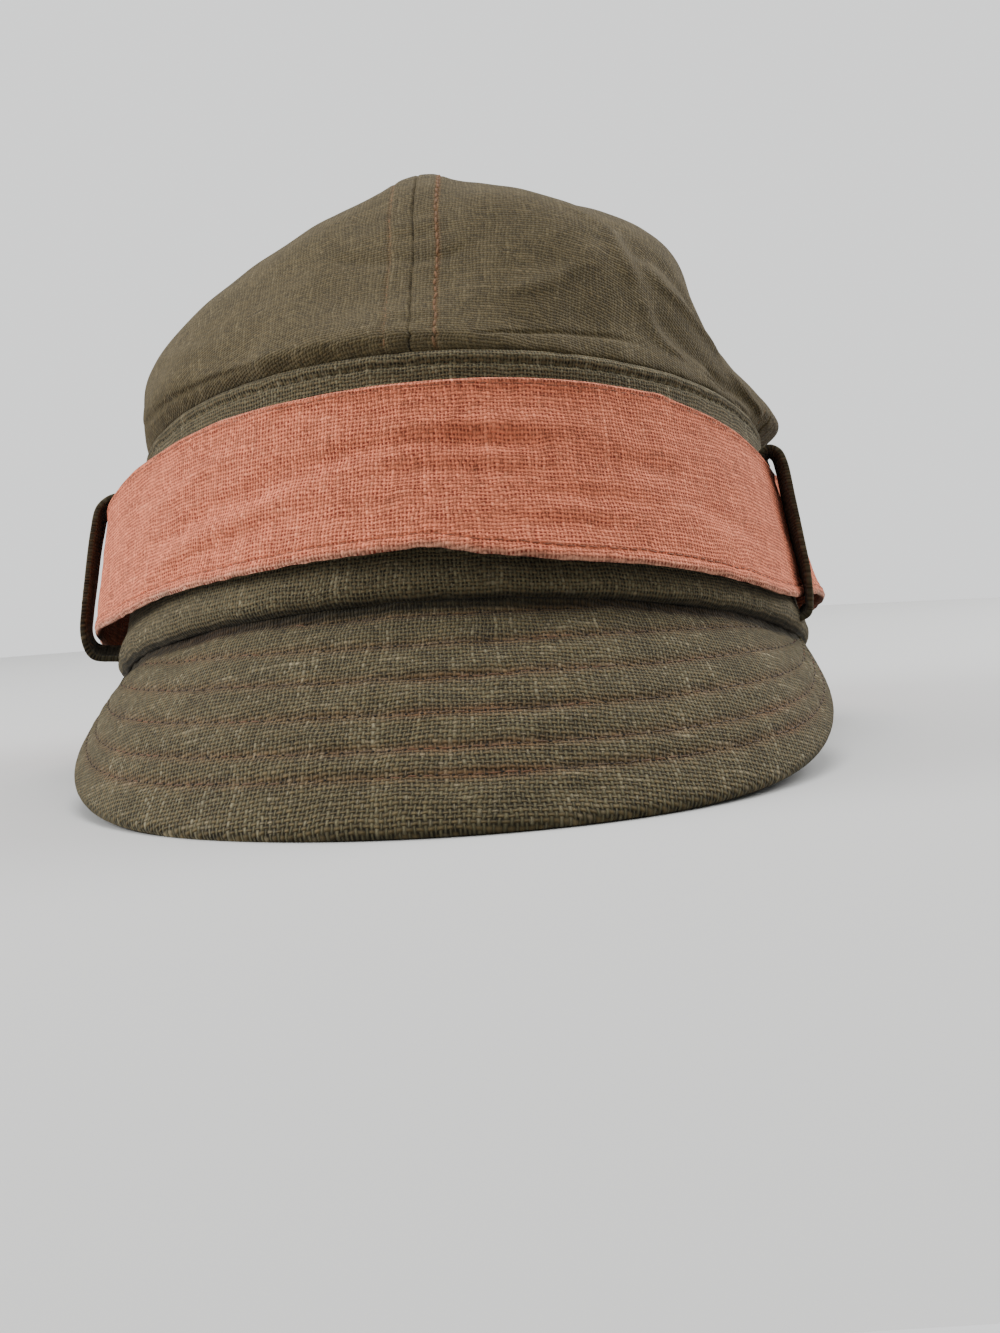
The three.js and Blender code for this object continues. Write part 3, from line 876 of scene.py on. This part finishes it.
# %% Topstitching along both edges of the strap
strap_rows = [
    ring_row(strap_outside, strap_normals, strap_heights, height)
    for height in (LOW_HEM, MEAN_WIDTH - HIGH_HEM)
]
strap_thread = stitches("stitches_strap", strap_rows, pitch=2.4, dash=2.1, thick=0.17, sink=0.06, seed=7)

# %% [markdown]
# ## The peak
# Two layers of linen over a stiff core, held together by rows of stitching that cross
# the peak side by side and draw together towards its two corners. Each row pulls a
# shallow channel into the cloth, and the cloth puffs up a little between the rows. This
# is shape and not a pattern, so that light from any side picks the rows out. The
# flat pattern turns less than the peak does, so that the weave runs along the rows as
# it does on the real one. The root, deep under the band, is darkened with painted shade.

# %% The peak's bare surface
ROW_SHARES = (0.06, 0.21, 0.37, 0.53, 0.68, 0.79)
ROW_GATHER = 0.5
GRAIN_TURN = 0.4
GRAIN_CONE = RIM_HALF[1] / math.cos(math.radians(PEAK_SLOPE)) - 15
PEAK_COLUMNS = 300
PEAK_CORNER = 0.9985
PEAK_ROUNDING = 0.045
PEAK_HALF_RUN = 110
across = PEAK_CORNER * np.sin(np.linspace(-0.5, 0.5, PEAK_COLUMNS) * math.pi)
root, tip, peak_normal, peak_length = peak_frame(across)
edge_rows = [0.97, 0.982, 0.991, 0.997, 1.0]
peak_share = np.concatenate([np.linspace(0, 1 - PEAK_ROUNDING, 76), edge_rows])[:, None]
round_edge = ((peak_share - (1 - PEAK_ROUNDING)) / PEAK_ROUNDING).clip(0)
edge_drop = PEAK_WALL * 0.5 * (1 - np.sqrt(np.clip(1 - round_edge**2, 0, 1)))
peak_line = root + (tip - root) * peak_share[..., None]
from_root = peak_share * peak_length
peak_line[..., 2] += 0.8 * bell(from_root, 1.0)
bulge = PEAK_BULGE * peak_length / PEAK_LENGTH * np.sin(math.pi * peak_share)
to_edge = distance_to_path(peak_line, tip)
peak_run = across * PEAK_HALF_RUN + 0 * peak_share


# %% Build the peak
def row_share(share):
    """How deep a row lies in each section. The rows close up towards the corners."""
    return np.maximum(share + (share - 0.7) * ROW_GATHER * across**2, 0.02)


from_rows = [(peak_share - row_share(share)) * peak_length for share in ROW_SHARES]
channels = sum(bell(away, 0.7) for away in from_rows)
beside_rows = sum(bell(away, 2.6) for away in from_rows)
puckers = waves(peak_run, to_edge, 2.6, 5.0, 35) * np.clip(beside_rows, 0, 1)
ends = np.clip(to_edge / 6, 0.15, 1) * np.clip(peak_length / 12, 0, 1)
peak_relief = (
    -0.34 * np.clip(channels, 0, 1)  # under each row of thread
    - 0.25 * np.clip(beside_rows, 0, 1)  # cloth drawn down beside it
    + 0.28 * puckers
    - 0.3 * bell(to_edge - 1.9, 0.45)  # the seam along the edge
    - 0.25 * bell(from_root - 2.2, 1.2)  # pressed down under the band
    + 0.5 * waves(peak_run, to_edge, 30.0, 24.0, 31)  # an uneven core
    + 0.32 * waves(peak_run, to_edge, 11.0, 4.0, 32)  # slack between the rows
    + 0.14 * waves(peak_run, to_edge, 3.4, 2.6, 33)
) * ends
peak_top = peak_line + peak_normal * (bulge + peak_relief - edge_drop)[..., None]
under_relief = 0.3 * waves(peak_run, to_edge, 12.0, 9.0, 34) - 0.3 * np.clip(channels, 0, 1)
peak_under = peak_line + peak_normal * (bulge - PEAK_WALL + edge_drop - under_relief * ends)[..., None]
cone = np.radians(PEAK_FAN * PEAK_HALF_SPREAD * across) * math.cos(math.radians(PEAK_SLOPE)) * GRAIN_TURN
slant = GRAIN_CONE / GRAIN_TURN + peak_share * peak_length
peak_flat = np.stack([slant * np.sin(cone), -slant * np.cos(cone)], -1)
by_rows = sum(bell(away, 1.3) for away in from_rows).clip(0, 1) * step_down(np.abs(across), 0.55, 0.95)
peak = loft(
    "peak_cloth",
    there_and_back(peak_under, peak_top),
    there_and_back(peak_flat),
    wear=there_and_back(by_rows),
    # painted shade: the peak's top is darkened at its root, in the shade under the band's fold
    soil=there_and_back(0 * from_root, 0.7 * step_down(from_root, 1.2, 2.7)),
)


# %% Rows of stitching across the peak
def peak_row(share):
    """The line of one row over the top of the peak, where its sections are deep enough."""
    columns = np.flatnonzero((peak_length > 9) & (row_share(share) * peak_length > 2.0))
    points = [
        [np.interp(place, peak_share[:, 0], peak_top[:, column, i]) for i in range(3)]
        for place, column in zip(row_share(share)[columns], columns)
    ]
    return np.array(points), peak_normal[columns]


peak_rows = [peak_row(share) for share in ROW_SHARES]
peak_thread = stitches(
    "stitches_peak", peak_rows, pitch=2.9, dash=2.1, thick=0.17, sink=0.07, seed=9, buried=0.16
)
# Painted shade: near-black dashes sunk at the stitches stand for the shade inside the needle holes.
peak_hole_shade = stitches(
    "needle_hole_shade_peak", peak_rows, pitch=2.9, dash=0.75, thick=0.3, sink=0.2, seed=10, offset=1.0
)

# %% [markdown]
# ## The belt loops
# Each loop is a narrow folded tab. It is sewn to the band behind the strap, goes over
# the strap's upper edge, stands a little away from it, and comes back to the band under
# the lower edge. A bevelled curve could follow that path too, but it would twist at the
# turns, so a flat section with rounded sides is placed at each step.

# %% Paths of the two loops
LOOP_WIDTH = 10.4
LOOP_SAG = 4.0
LOOP_STEPS = 96
LOOP_CORNERS = 28
LOOP_SQUARENESS = 5.0
LOOP_ROW = 0.72
LOOPS = {  # angle, twist, path of places out and up
    "belt_loop_left": (
        -80, -4,
        [(1.5, 36), (1.6, 41), (3.6, 44.4), (7.6, 45.4), (10.6, 43.2), (11.4, 37), (11.5, 25),
         (11.3, 17), (10.8, 12.6), (8.4, 9.8), (1.8, 9)],
    ),
    "belt_loop_right": (
        74, 20,
        [(0.6, 41.6), (0.9, 43.2), (2.5, 44.2), (4.0, 43.2), (4.5, 40.4), (4.4, 33), (4.3, 24),
         (4.2, 16), (4.0, 11.2), (3.2, 8), (1.4, 7)],
    ),
}


# %% Sweep the loops
def squarish(values):
    return np.sign(values) * np.abs(values) ** (2 / LOOP_SQUARENESS)


def belt_loop(name, angle, twist, path):
    share = np.linspace(0, 1, LOOP_STEPS)
    line = through([np.repeat([[float(o), float(u)]], LOOP_STEPS, 0) for o, u in path], share)
    heading = unit(np.gradient(line, axis=0))
    outward = np.stack([-heading[:, 1], heading[:, 0]], -1)
    corner = np.linspace(0, 2 * math.pi, LOOP_CORNERS + 1)[:-1] + math.pi / LOOP_CORNERS
    side, face = squarish(np.cos(corner)), squarish(np.sin(corner))
    ridge = 1 - 0.22 * bell(np.abs(side) - LOOP_ROW, 0.08)
    offset = outward[:, None] * (face * ridge * LOOP_WALL / 2)[None, :, None] + line[:, None]
    wobble = 0.3 * waves(share[:, None] * 48, side[None] * 5, 9.0, 6.0, 41 + angle)
    away = offset[..., 0] + wobble * np.clip(line[:, None, 0] / 6, 0, 1)
    centre = beside_band(angle, offset[..., 1], away)
    sag = LOOP_SAG * step_down(line[:, 1], 9, 16) * step_down(np.arange(LOOP_STEPS), 40, 60)[::-1]
    centre[..., 2] -= sag[:, None] * (1 - math.copysign(1, angle) * side[None]) / 2
    faces = np.radians(angle + twist * np.sin(math.pi * share))
    along = np.stack([np.cos(faces), np.sin(faces), 0 * faces], -1)
    sections = centre + along[:, None] * (side * LOOP_WIDTH / 2)[None, :, None]
    run = running_length(line[None], 1)[0]
    flat = np.stack(np.broadcast_arrays(side[None] * LOOP_WIDTH / 2, run[:, None]), -1)
    # Painted shade: the inner side of each loop, which wraps the strap, and its edges are darkened as if in
    # shade.
    loop_painted_shade = 0.62 * step_down(face[None] + 0 * share[:, None], 0.3, 1.0)
    piece = loft(name + "_cloth", sections[:, ::-1], flat[:, ::-1], soil=loop_painted_shade[:, ::-1])
    middle = beside_band(angle, line[:, 1], line[:, 0])
    lift = beside_band(angle, line[:, 1] + outward[:, 1], line[:, 0] + outward[:, 0]) - middle
    skin = middle + lift * LOOP_WALL * 0.42
    rows = [(skin + along * edge * LOOP_WIDTH / 2, lift) for edge in (-LOOP_ROW, LOOP_ROW)]
    return piece, rows


loops = {}
loop_rows = []
for name, row in LOOPS.items():
    loops[name], rows = belt_loop(name, *row)
    loop_rows += rows
loop_thread = stitches("stitches_loops", loop_rows, pitch=2.8, dash=1.8, thick=0.15, seed=13)

# %% [markdown]
# ## The weave
# Plain linen goes one over, one under, with threads of uneven thickness called slubs.
# Seen close, each crossing is a small bump, and the corners between crossings are holes,
# which the materials darken as painted shade. Modelled threads would be millions of faces,
# and a picture of cloth would repeat. One node group works the weave out from the flat
# pattern, for any colour.

# %% Small helpers for shader node trees
FLOAT, VECTOR = "NodeSocketFloat", "NodeSocketVector"


def add_node(tree, kind, *values, **settings):
    """A node with its settings made, and its sockets filled in order by numbers, tuples or
    the outputs of other nodes. None leaves a socket alone."""
    node = tree.nodes.new("ShaderNode" + kind)
    for setting, value in settings.items():
        setattr(node, setting, value)
    for socket, value in zip(node.inputs, values):
        if isinstance(value, (int, float, tuple)):
            socket.default_value = value
        elif value is not None:
            tree.links.new(value, socket)
    return node


def calc(tree, operation, *values, clamp=False):
    return add_node(tree, "Math", *values, operation=operation, use_clamp=clamp).outputs[0]


def calc_vector(tree, operation, *values):
    return add_node(tree, "VectorMath", *values, operation=operation).outputs[0]


def noise_value(tree, place, scale, detail=2.0, output=0):
    """Output 0 is one value, and output 1 is three at once, as a colour."""
    return add_node(tree, "TexNoise", place, None, scale, detail).outputs[output]


def make_group(name, inputs, outputs):
    group = bpy.data.node_groups.new(name, "ShaderNodeTree")
    for label, kind, value in inputs:
        socket = group.interface.new_socket(label, in_out="INPUT", socket_type=kind)
        if value is not None:
            socket.default_value = value
    for label in outputs:
        group.interface.new_socket(label, in_out="OUTPUT", socket_type=FLOAT)
    return group, group.nodes.new("NodeGroupInput").outputs, group.nodes.new("NodeGroupOutput").inputs


# %% Chance, and the height of one thread
THREAD_APART, THREAD_CHANGE = 7.13, 0.075


def chance(tree, a, b):
    """A number between 0 and 1 for each whole a and b."""
    spot = add_node(tree, "CombineXYZ", a, b).outputs[0]
    return add_node(tree, "TexWhiteNoise", spot).outputs["Value"]


def thread_noise(tree, index, along, seed):
    """How one thread, known by its index, changes slowly along its length."""
    index = calc(tree, "MULTIPLY", index, THREAD_APART)
    along = calc(tree, "MULTIPLY", along, THREAD_CHANGE)
    return noise_value(tree, add_node(tree, "CombineXYZ", index, along, seed).outputs[0], 1.0)


def thread_height(tree, unevenness, across, along, random, sign):
    """How high one thread stands beside its middle line, and its round body alone."""
    fatness = calc(tree, "MULTIPLY_ADD", calc(tree, "SUBTRACT", random, 0.5), unevenness, 0.8)
    body = calc(tree, "COSINE", calc(tree, "DIVIDE", calc(tree, "MULTIPLY", across, math.pi), fatness))
    body = calc(tree, "MAXIMUM", body, 0.0)
    rise = calc(tree, "MULTIPLY", calc(tree, "COSINE", calc(tree, "MULTIPLY", along, math.pi)), sign)
    return calc(tree, "MULTIPLY", body, calc(tree, "MULTIPLY_ADD", rise, 0.4, 0.6)), body


# %% The plain weave group
WEAVE_SWAYS = ((0.12, 1.5), (0.45, 0.4))
PALE_CHANCE, PALE_CROSSING = 0.04, 0.55
KNOTS, BUNCHES = 0.55, 0.7
SLUB_FROM, SLUB_RISE = 0.62, 6.0
LOOSE_BANDS = (0.09, 0.42, 1)
CORNER_CHANCE = 1.7
HOLE_SHARPNESS = 1.2


def build_weave():
    tree, given, result = make_group(
        "Plain weave",
        [("Cloth", VECTOR, None), ("Warp", FLOAT, 0.8), ("Weft", FLOAT, 0.8), ("Unevenness", FLOAT, 0.3)],
        ["Height", "Hole", "Slub", "Tone", "Warp on top"],
    )
    place = given["Cloth"]
    for scale, amount in WEAVE_SWAYS:
        sway = noise_value(tree, given["Cloth"], scale, 1.0, output=1)
        place = calc_vector(tree, "MULTIPLY_ADD", sway, (amount, amount, 0), place)
    across, along = add_node(tree, "SeparateXYZ", place).outputs[:2]
    u, v = calc(tree, "DIVIDE", across, given["Warp"]), calc(tree, "DIVIDE", along, given["Weft"])
    column, row = calc(tree, "FLOOR", u), calc(tree, "FLOOR", v)
    in_u = calc(tree, "SUBTRACT", calc(tree, "FRACT", u), 0.5)
    in_v = calc(tree, "SUBTRACT", calc(tree, "FRACT", v), 0.5)
    warp_random, weft_random = thread_noise(tree, column, v, 3.7), thread_noise(tree, row, u, 11.9)
    parity = calc(tree, "PINGPONG", calc(tree, "ADD", column, row), 1.0)
    over = calc(tree, "SUBTRACT", calc(tree, "MULTIPLY", parity, 2.0), 1.0)
    under, uneven = calc(tree, "MULTIPLY", over, -1.0), given["Unevenness"]
    warp, warp_body = thread_height(tree, uneven, in_u, in_v, warp_random, over)
    weft, weft_body = thread_height(tree, uneven, in_v, in_u, weft_random, under)
    on_top = calc(tree, "GREATER_THAN", warp, weft)
    random = add_node(tree, "Mix", on_top, None, weft_random, warp_random).outputs[0]

    knots = calc(tree, "MULTIPLY", calc(tree, "SUBTRACT", chance(tree, column, row), 0.5), KNOTS)
    bunches = calc(tree, "SUBTRACT", noise_value(tree, given["Cloth"], 0.6), 0.5)
    tone = calc(tree, "ADD", calc(tree, "ADD", random, knots), calc(tree, "MULTIPLY", bunches, BUNCHES))
    slub = calc(tree, "MULTIPLY", calc(tree, "SUBTRACT", random, SLUB_FROM), SLUB_RISE, clamp=True)
    pale = calc(tree, "GREATER_THAN", chance(tree, row, column), 1 - PALE_CHANCE)
    open_corner = calc(tree, "SUBTRACT", 1.0, calc(tree, "MAXIMUM", warp_body, weft_body), clamp=True)
    bands = noise_value(tree, calc_vector(tree, "MULTIPLY", given["Cloth"], LOOSE_BANDS), 1.0)
    looseness = calc(tree, "MULTIPLY_ADD", bands, 2.2, -0.25, clamp=True)
    corner = chance(tree, calc(tree, "ROUND", u), calc(tree, "ROUND", v))
    looseness = calc(tree, "MULTIPLY", looseness, calc(tree, "MULTIPLY", corner, CORNER_CHANCE))
    hole = calc(tree, "POWER", open_corner, HOLE_SHARPNESS)
    found = {
        "Height": calc(tree, "SMOOTH_MAX", warp, weft, 0.08),
        "Hole": calc(tree, "MULTIPLY", hole, looseness, clamp=True),
        "Slub": calc(tree, "MAXIMUM", slub, calc(tree, "MULTIPLY", pale, PALE_CROSSING)),
        "Tone": tone,
        "Warp on top": on_top,
    }
    for label, value in found.items():
        tree.links.new(value, result[label])
    return tree


WEAVE = build_weave()
print("weave group nodes:", len(WEAVE.nodes))

# %% [markdown]
# ## Uneven dye and handling
# Washed linen is never one flat colour. Slow patches come from the dye, and finer ones
# from rubbing. This second group gives both as one value around 1, to multiply a colour
# by, and the places where wear comes and goes as another. It works in the object's own
# space, so it crosses seams like real handling.

# %% The uneven dye group
def build_mottle():
    tree, given, result = make_group(
        "Uneven dye", [("Slow", FLOAT, 0.1), ("Fine", FLOAT, 0.08)], ["Shade", "Patch"]
    )
    place = add_node(tree, "TexCoord").outputs["Object"]
    slow = calc(tree, "SUBTRACT", noise_value(tree, place, 22.0), 0.5)
    fine = calc(tree, "SUBTRACT", noise_value(tree, place, 140.0, 3.0), 0.5)
    shade = calc(tree, "MULTIPLY_ADD", slow, given["Slow"], 1.0)
    tree.links.new(calc(tree, "MULTIPLY_ADD", fine, given["Fine"], shade), result["Shade"])
    patch = calc(tree, "SUBTRACT", noise_value(tree, place, 34.0, 3.0), 0.55)
    tree.links.new(calc(tree, "MULTIPLY", patch, 5.0, clamp=True), result["Patch"])
    return tree


MOTTLE = build_mottle()
print("uneven dye group nodes:", len(MOTTLE.nodes))

# %% [markdown]
# ## The linens
# Crown, band and peak are one olive cloth. It lies slack on the crown, and is stretched
# over a stiff core on the peak, where its holes open and its slubs show, so each has its
# own values of one recipe. The strap is coral. The yarns are paler than the holes
# between them, whose dark is painted shade, slubs are paler again, and worn edges are
# rubbed almost to pink. Low threads are darkened and raised crossings lightened, as
# painted shade and light. Painted shade also darkens the band's lower fold, the peak's
# root, the strap's inside and the loops' inner sides. A little sheen stands in for loose
# fibres.

# %% Materials, mixed colours and relief
def new_material(name):
    material = bpy.data.materials.new(name)
    material.use_nodes = True
    print("material:", name)
    return material, material.node_tree, material.node_tree.nodes["Principled BSDF"].inputs


def mix_color(tree, factor, a, b):
    a, b = ((*value, 1) if isinstance(value, tuple) else value for value in (a, b))
    return add_node(tree, "Mix", factor, *[None] * 5, a, b, data_type="RGBA").outputs[2]


def raise_relief(tree, surface, height, distance, strength=1.0):
    """Millimetres of fine relief, felt by the light alone."""
    bump = add_node(tree, "Bump")
    bump.inputs["Strength"].default_value = strength
    bump.inputs["Distance"].default_value = distance * MM
    tree.links.new(height, bump.inputs["Height"])
    tree.links.new(bump.outputs[0], surface["Normal"])


# %% One recipe for every linen
YARN_UNEVENNESS = 1.25
SLOW_DYE, FINE_DYE = 0.2, 0.16
SLUB_SHARE = 0.4
PATCHY_WEAR = 0.6
TONE_SPREAD = 0.8
SHEEN, SHEEN_ROUGHNESS, SHINE = 0.06, 0.6, 0.2


def linen(name, yarns, spacing, low_thread_shade, hole_shade, marked=None, mark_share=0.0, relief=0.22):
    """marked colours the cloth where its wear attribute is high, and a point attribute of
    painted shade darkens it. depth darkens low threads and lightens raised crossings as
    painted shade and light, and gaps says how dark the painted shade in the holes is."""
    warp_color, weft_color, slub_color, hole_shade_color = yarns
    material, tree, surface = new_material(name)

    def place_group(group, **values):
        node = add_node(tree, "Group", node_tree=group)
        for label, value in values.items():
            node.inputs[label].default_value = value
        return node

    def attribute(label):
        return add_node(tree, "Attribute", attribute_name=label).outputs["Fac"]

    woven = place_group(WEAVE, Warp=spacing[0], Weft=spacing[1], Unevenness=YARN_UNEVENNESS)
    tree.links.new(add_node(tree, "UVMap", uv_map="cloth").outputs[0], woven.inputs["Cloth"])
    weave = woven.outputs
    dye = place_group(MOTTLE, Slow=SLOW_DYE, Fine=FINE_DYE).outputs
    color = mix_color(tree, weave["Warp on top"], weft_color, warp_color)
    color = mix_color(tree, calc(tree, "MULTIPLY", weave["Slub"], SLUB_SHARE), color, slub_color)
    if marked:
        amount = calc(tree, "MULTIPLY_ADD", dye["Patch"], PATCHY_WEAR, mark_share)
        amount = calc(tree, "MULTIPLY", attribute("wear"), amount, clamp=True)
        color = mix_color(tree, amount, color, marked)
    tone = calc(tree, "SUBTRACT", weave["Tone"], 0.5)
    # painted shade and light: low parts of the threads are darkened and raised crossings lightened, by the
    # weave's height
    tone = calc(tree, "MULTIPLY_ADD", tone, TONE_SPREAD, 1.05 - 0.65 * low_thread_shade)
    tone = calc(tree, "MULTIPLY_ADD", weave["Height"], low_thread_shade, tone)
    # painted shade: a point attribute darkens the colour under the band's fold, at the peak's root, inside
    # the strap and on the loops' inner sides
    shade = calc(tree, "MULTIPLY", dye["Shade"], calc(tree, "SUBTRACT", 1.0, attribute("soil")))
    color = calc_vector(tree, "SCALE", color, None, None, calc(tree, "MULTIPLY", tone, shade))
    # painted shade: open corners between threads are mixed towards a near-black hole colour
    color = mix_color(tree, calc(tree, "MULTIPLY", weave["Hole"], hole_shade), color, hole_shade_color)
    tree.links.new(color, surface["Base Color"])
    tree.links.new(calc(tree, "MULTIPLY_ADD", weave["Hole"], 0.08, 0.9), surface["Roughness"])
    surface["Specular IOR Level"].default_value = SHINE
    surface["Sheen Weight"].default_value = SHEEN
    surface["Sheen Roughness"].default_value = SHEEN_ROUGHNESS
    raise_relief(tree, surface, weave["Height"], relief, 0.9)
    return material


# %% Yarn colours, each for warp, weft, slub and the painted shade of the holes, and the four linens
OLIVE_YARNS = ((0.104, 0.081, 0.038), (0.108, 0.079, 0.035), (0.18, 0.145, 0.085), (0.016, 0.012, 0.006))
PEAK_YARNS = ((0.120, 0.103, 0.054), (0.119, 0.089, 0.041), (0.36, 0.315, 0.21), (0.017, 0.013, 0.007))
BAND_YARNS = ((0.134, 0.115, 0.063), (0.134, 0.100, 0.049), (0.31, 0.27, 0.18), (0.011, 0.009, 0.005))
CORAL_YARNS = ((0.84, 0.245, 0.130), (0.81, 0.222, 0.113), (0.88, 0.34, 0.19), (0.26, 0.042, 0.022))
RUST = (0.22, 0.088, 0.030)
FADED_RUST = (0.155, 0.066, 0.027)
RUBBED_CORAL = (0.62, 0.36, 0.25)
OLIVE = linen(
    "olive linen", OLIVE_YARNS, (0.74, 0.76), low_thread_shade=0.38, hole_shade=0.42, marked=RUST, mark_share=0.55
)
BAND_OLIVE = linen("olive linen of the band", BAND_YARNS, (0.78, 0.8), low_thread_shade=0.8, hole_shade=0.9)
PEAK_OLIVE = linen(
    "olive linen of the peak", PEAK_YARNS, (0.76, 0.98), low_thread_shade=0.9, hole_shade=0.9, relief=0.36,
    marked=FADED_RUST, mark_share=0.32,
)
CORAL = linen(
    "coral linen", CORAL_YARNS, (0.8, 0.81), low_thread_shade=0.62, hole_shade=1.0, relief=0.26,
    marked=RUBBED_CORAL, mark_share=0.55,
)

# %% [markdown]
# ## The threads
# One rust-coloured thread sews the whole olive cap. It is bright on the crown and worn
# dark elsewhere, and the strap has a thread of its own, so one recipe takes the dark
# and light of the plies and the colour of the patches. Between two stitches the cloth
# is pulled into a hole, which is made as a short dash sunk in the cloth and coloured
# near black as painted shade.

# %% Sewing thread, bright, worn and on the strap
def sewing_thread(name, dark, light, patches):
    material, tree, surface = new_material(name)
    place = add_node(tree, "TexCoord").outputs["Object"]
    plies = noise_value(tree, place, 900.0)
    patch = calc(tree, "SUBTRACT", noise_value(tree, place, 60.0, 1.0), 0.5)
    patch = calc(tree, "MULTIPLY", patch, 5.0, clamp=True)
    color = mix_color(tree, patch, mix_color(tree, plies, dark, light), patches)
    tree.links.new(color, surface["Base Color"])
    surface["Roughness"].default_value = 0.7
    raise_relief(tree, surface, plies, 0.05)
    return material


RUST_THREAD = sewing_thread("rust thread", (0.12, 0.053, 0.014), (0.24, 0.105, 0.030), (0.14, 0.078, 0.030))
WORN_THREAD = sewing_thread("worn thread", (0.050, 0.032, 0.015), (0.095, 0.055, 0.026), (0.17, 0.068, 0.026))
STRAP_THREAD = sewing_thread("strap thread", (0.24, 0.070, 0.032), (0.42, 0.140, 0.070), (0.30, 0.105, 0.055))


# %% Painted shade inside a needle hole
def needle_hole_shade(dark=(0.010, 0.007, 0.004), less_dark=(0.024, 0.016, 0.009)):
    material, tree, surface = new_material("painted shade of needle holes")
    fibres = noise_value(tree, add_node(tree, "TexCoord").outputs["Object"], 700.0, 1.0)
    tree.links.new(mix_color(tree, fibres, dark, less_dark), surface["Base Color"])
    surface["Roughness"].default_value = 0.95
    return material


NEEDLE_HOLE_SHADE = needle_hole_shade()

# %% [markdown]
# ## Putting the pieces together
# Each cloth piece stands for the plain solid of the same part, rides on the one body
# of the cap, and names the finish that it takes. Loose thread rides along.

# %% Dress the frame
def dress(piece, material, node=None):
    piece.data.materials.append(material)
    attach(piece, "root")
    if node:
        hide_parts(node)
    print(piece.name, "in", material.name)


for name, parts in panels.items():
    dress(parts[0], OLIVE, name)
dress(headband, BAND_OLIVE, "headband")
dress(peak, PEAK_OLIVE, "peak")
for name, piece in loops.items():
    dress(piece, BAND_OLIVE, name)
dress(strap, CORAL, "strap")
for piece in (front_row, crown_thread):
    dress(piece, RUST_THREAD)
dress(strap_thread, STRAP_THREAD)
for piece in (band_thread, peak_thread, loop_thread):
    dress(piece, WORN_THREAD)
dress(peak_hole_shade, NEEDLE_HOLE_SHADE)

# %% [markdown]
# ## Floor, light and camera
# A pale floor and a pale room keep attention on the cloth. One soft window stands at
# the left, another behind at the right, and a weaker one hangs overhead, which leaves
# the band dark under the strap. The camera is a little above the floor and looks
# slightly down, with a small roll.

# %% The floor and the room
FLOOR_RADIUS = 0.75
FLOOR_SEEN, FLOOR_BOUNCE = 0.70, 0.30
WALL_SEEN, SKY_LIGHT, HORIZON_LIGHT = 1.35, 0.82, 0.28


def pale_floor():
    """Pale to the eye, but it throws less light back up than a white table would."""
    material, tree, surface = new_material("pale floor")
    seen = add_node(tree, "LightPath").outputs["Is Camera Ray"]
    color = mix_color(tree, seen, (FLOOR_BOUNCE,) * 3, (FLOOR_SEEN, FLOOR_SEEN, 0.985 * FLOOR_SEEN))
    tree.links.new(color, surface["Base Color"])
    surface["Roughness"].default_value = 0.9
    return material


def pale_room():
    """Plain and bright behind the cap. Its light comes mostly from above."""
    world = bpy.data.worlds.new("pale room")
    world.use_nodes = True
    room = world.node_tree
    background = room.nodes["Background"]
    background.inputs["Color"].default_value = (0.93, 0.94, 0.94, 1)
    ray = add_node(room, "SeparateXYZ", add_node(room, "TexCoord").outputs["Generated"])
    lift = calc(room, "MAXIMUM", ray.outputs[2], 0.0)
    light = calc(room, "MULTIPLY_ADD", lift, SKY_LIGHT - HORIZON_LIGHT, HORIZON_LIGHT)
    seen = add_node(room, "LightPath").outputs["Is Camera Ray"]
    wall = calc(room, "MULTIPLY", seen, calc(room, "SUBTRACT", WALL_SEEN, light))
    room.links.new(calc(room, "ADD", light, wall), background.inputs["Strength"])
    return world


bpy.ops.mesh.primitive_circle_add(vertices=96, radius=FLOOR_RADIUS, fill_type="NGON")
floor = bpy.context.object
floor.name = "floor"
floor.data.materials.append(pale_floor())
bpy.context.scene.world = pale_room()


# %% Soft windows, all turned to the cap
WINDOW_SIZE = 0.7
CAP_MIDDLE = Vector((0, 0, 0.06))
WINDOWS = {
    "left window": ((-1.0, -0.11, 0.42), 10.6),
    "overhead": ((0.0, 0.05, 1.1), 7),
    "right window": ((0.83, 0.45, 0.62), 9.4),
}
for name, (place, power) in WINDOWS.items():
    data = bpy.data.lights.new(name, "AREA")
    data.size = WINDOW_SIZE
    data.energy = power
    light = bpy.data.objects.new(name, data)
    light.location = place
    light.rotation_mode = "QUATERNION"
    light.rotation_quaternion = (CAP_MIDDLE - Vector(place)).to_track_quat("-Z", "Y")
    bpy.context.scene.collection.objects.link(light)
    print(name, "of", power, "watts")

# %% The camera
FOCAL_PIXELS = 1650
LONG_SIDE_PIXELS = 1333
SENSOR = 36
CAMERA = {"x": 22.11, "distance": 415.32, "height": 48.34, "turn": -1.9, "down": 3.92, "roll": 3.49}


# %% Place the camera
def place_camera():
    data = bpy.data.cameras.new("camera")
    data.sensor_width = SENSOR
    data.lens = FOCAL_PIXELS / LONG_SIDE_PIXELS * data.sensor_width
    camera = bpy.data.objects.new("camera", data)
    turn, down, roll = (math.radians(CAMERA[key]) for key in ("turn", "down", "roll"))
    ahead = np.array([math.sin(turn) * math.cos(down), math.cos(turn) * math.cos(down), -math.sin(down)])
    right = np.array([math.cos(turn), -math.sin(turn), 0])
    up = np.cross(right, ahead)
    rolled_right = right * math.cos(roll) - up * math.sin(roll)
    rolled_up = right * math.sin(roll) + up * math.cos(roll)
    spot = (np.array([CAMERA["x"], -CAMERA["distance"], CAMERA["height"]]) + SHIFT) * MM
    columns = np.stack([rolled_right, rolled_up, -ahead, spot], 1)
    camera.matrix_world = Matrix([*columns.tolist(), [0, 0, 0, 1]])
    bpy.context.scene.collection.objects.link(camera)
    bpy.context.scene.camera = camera
    return camera


print("camera at", place_camera().matrix_world.translation)
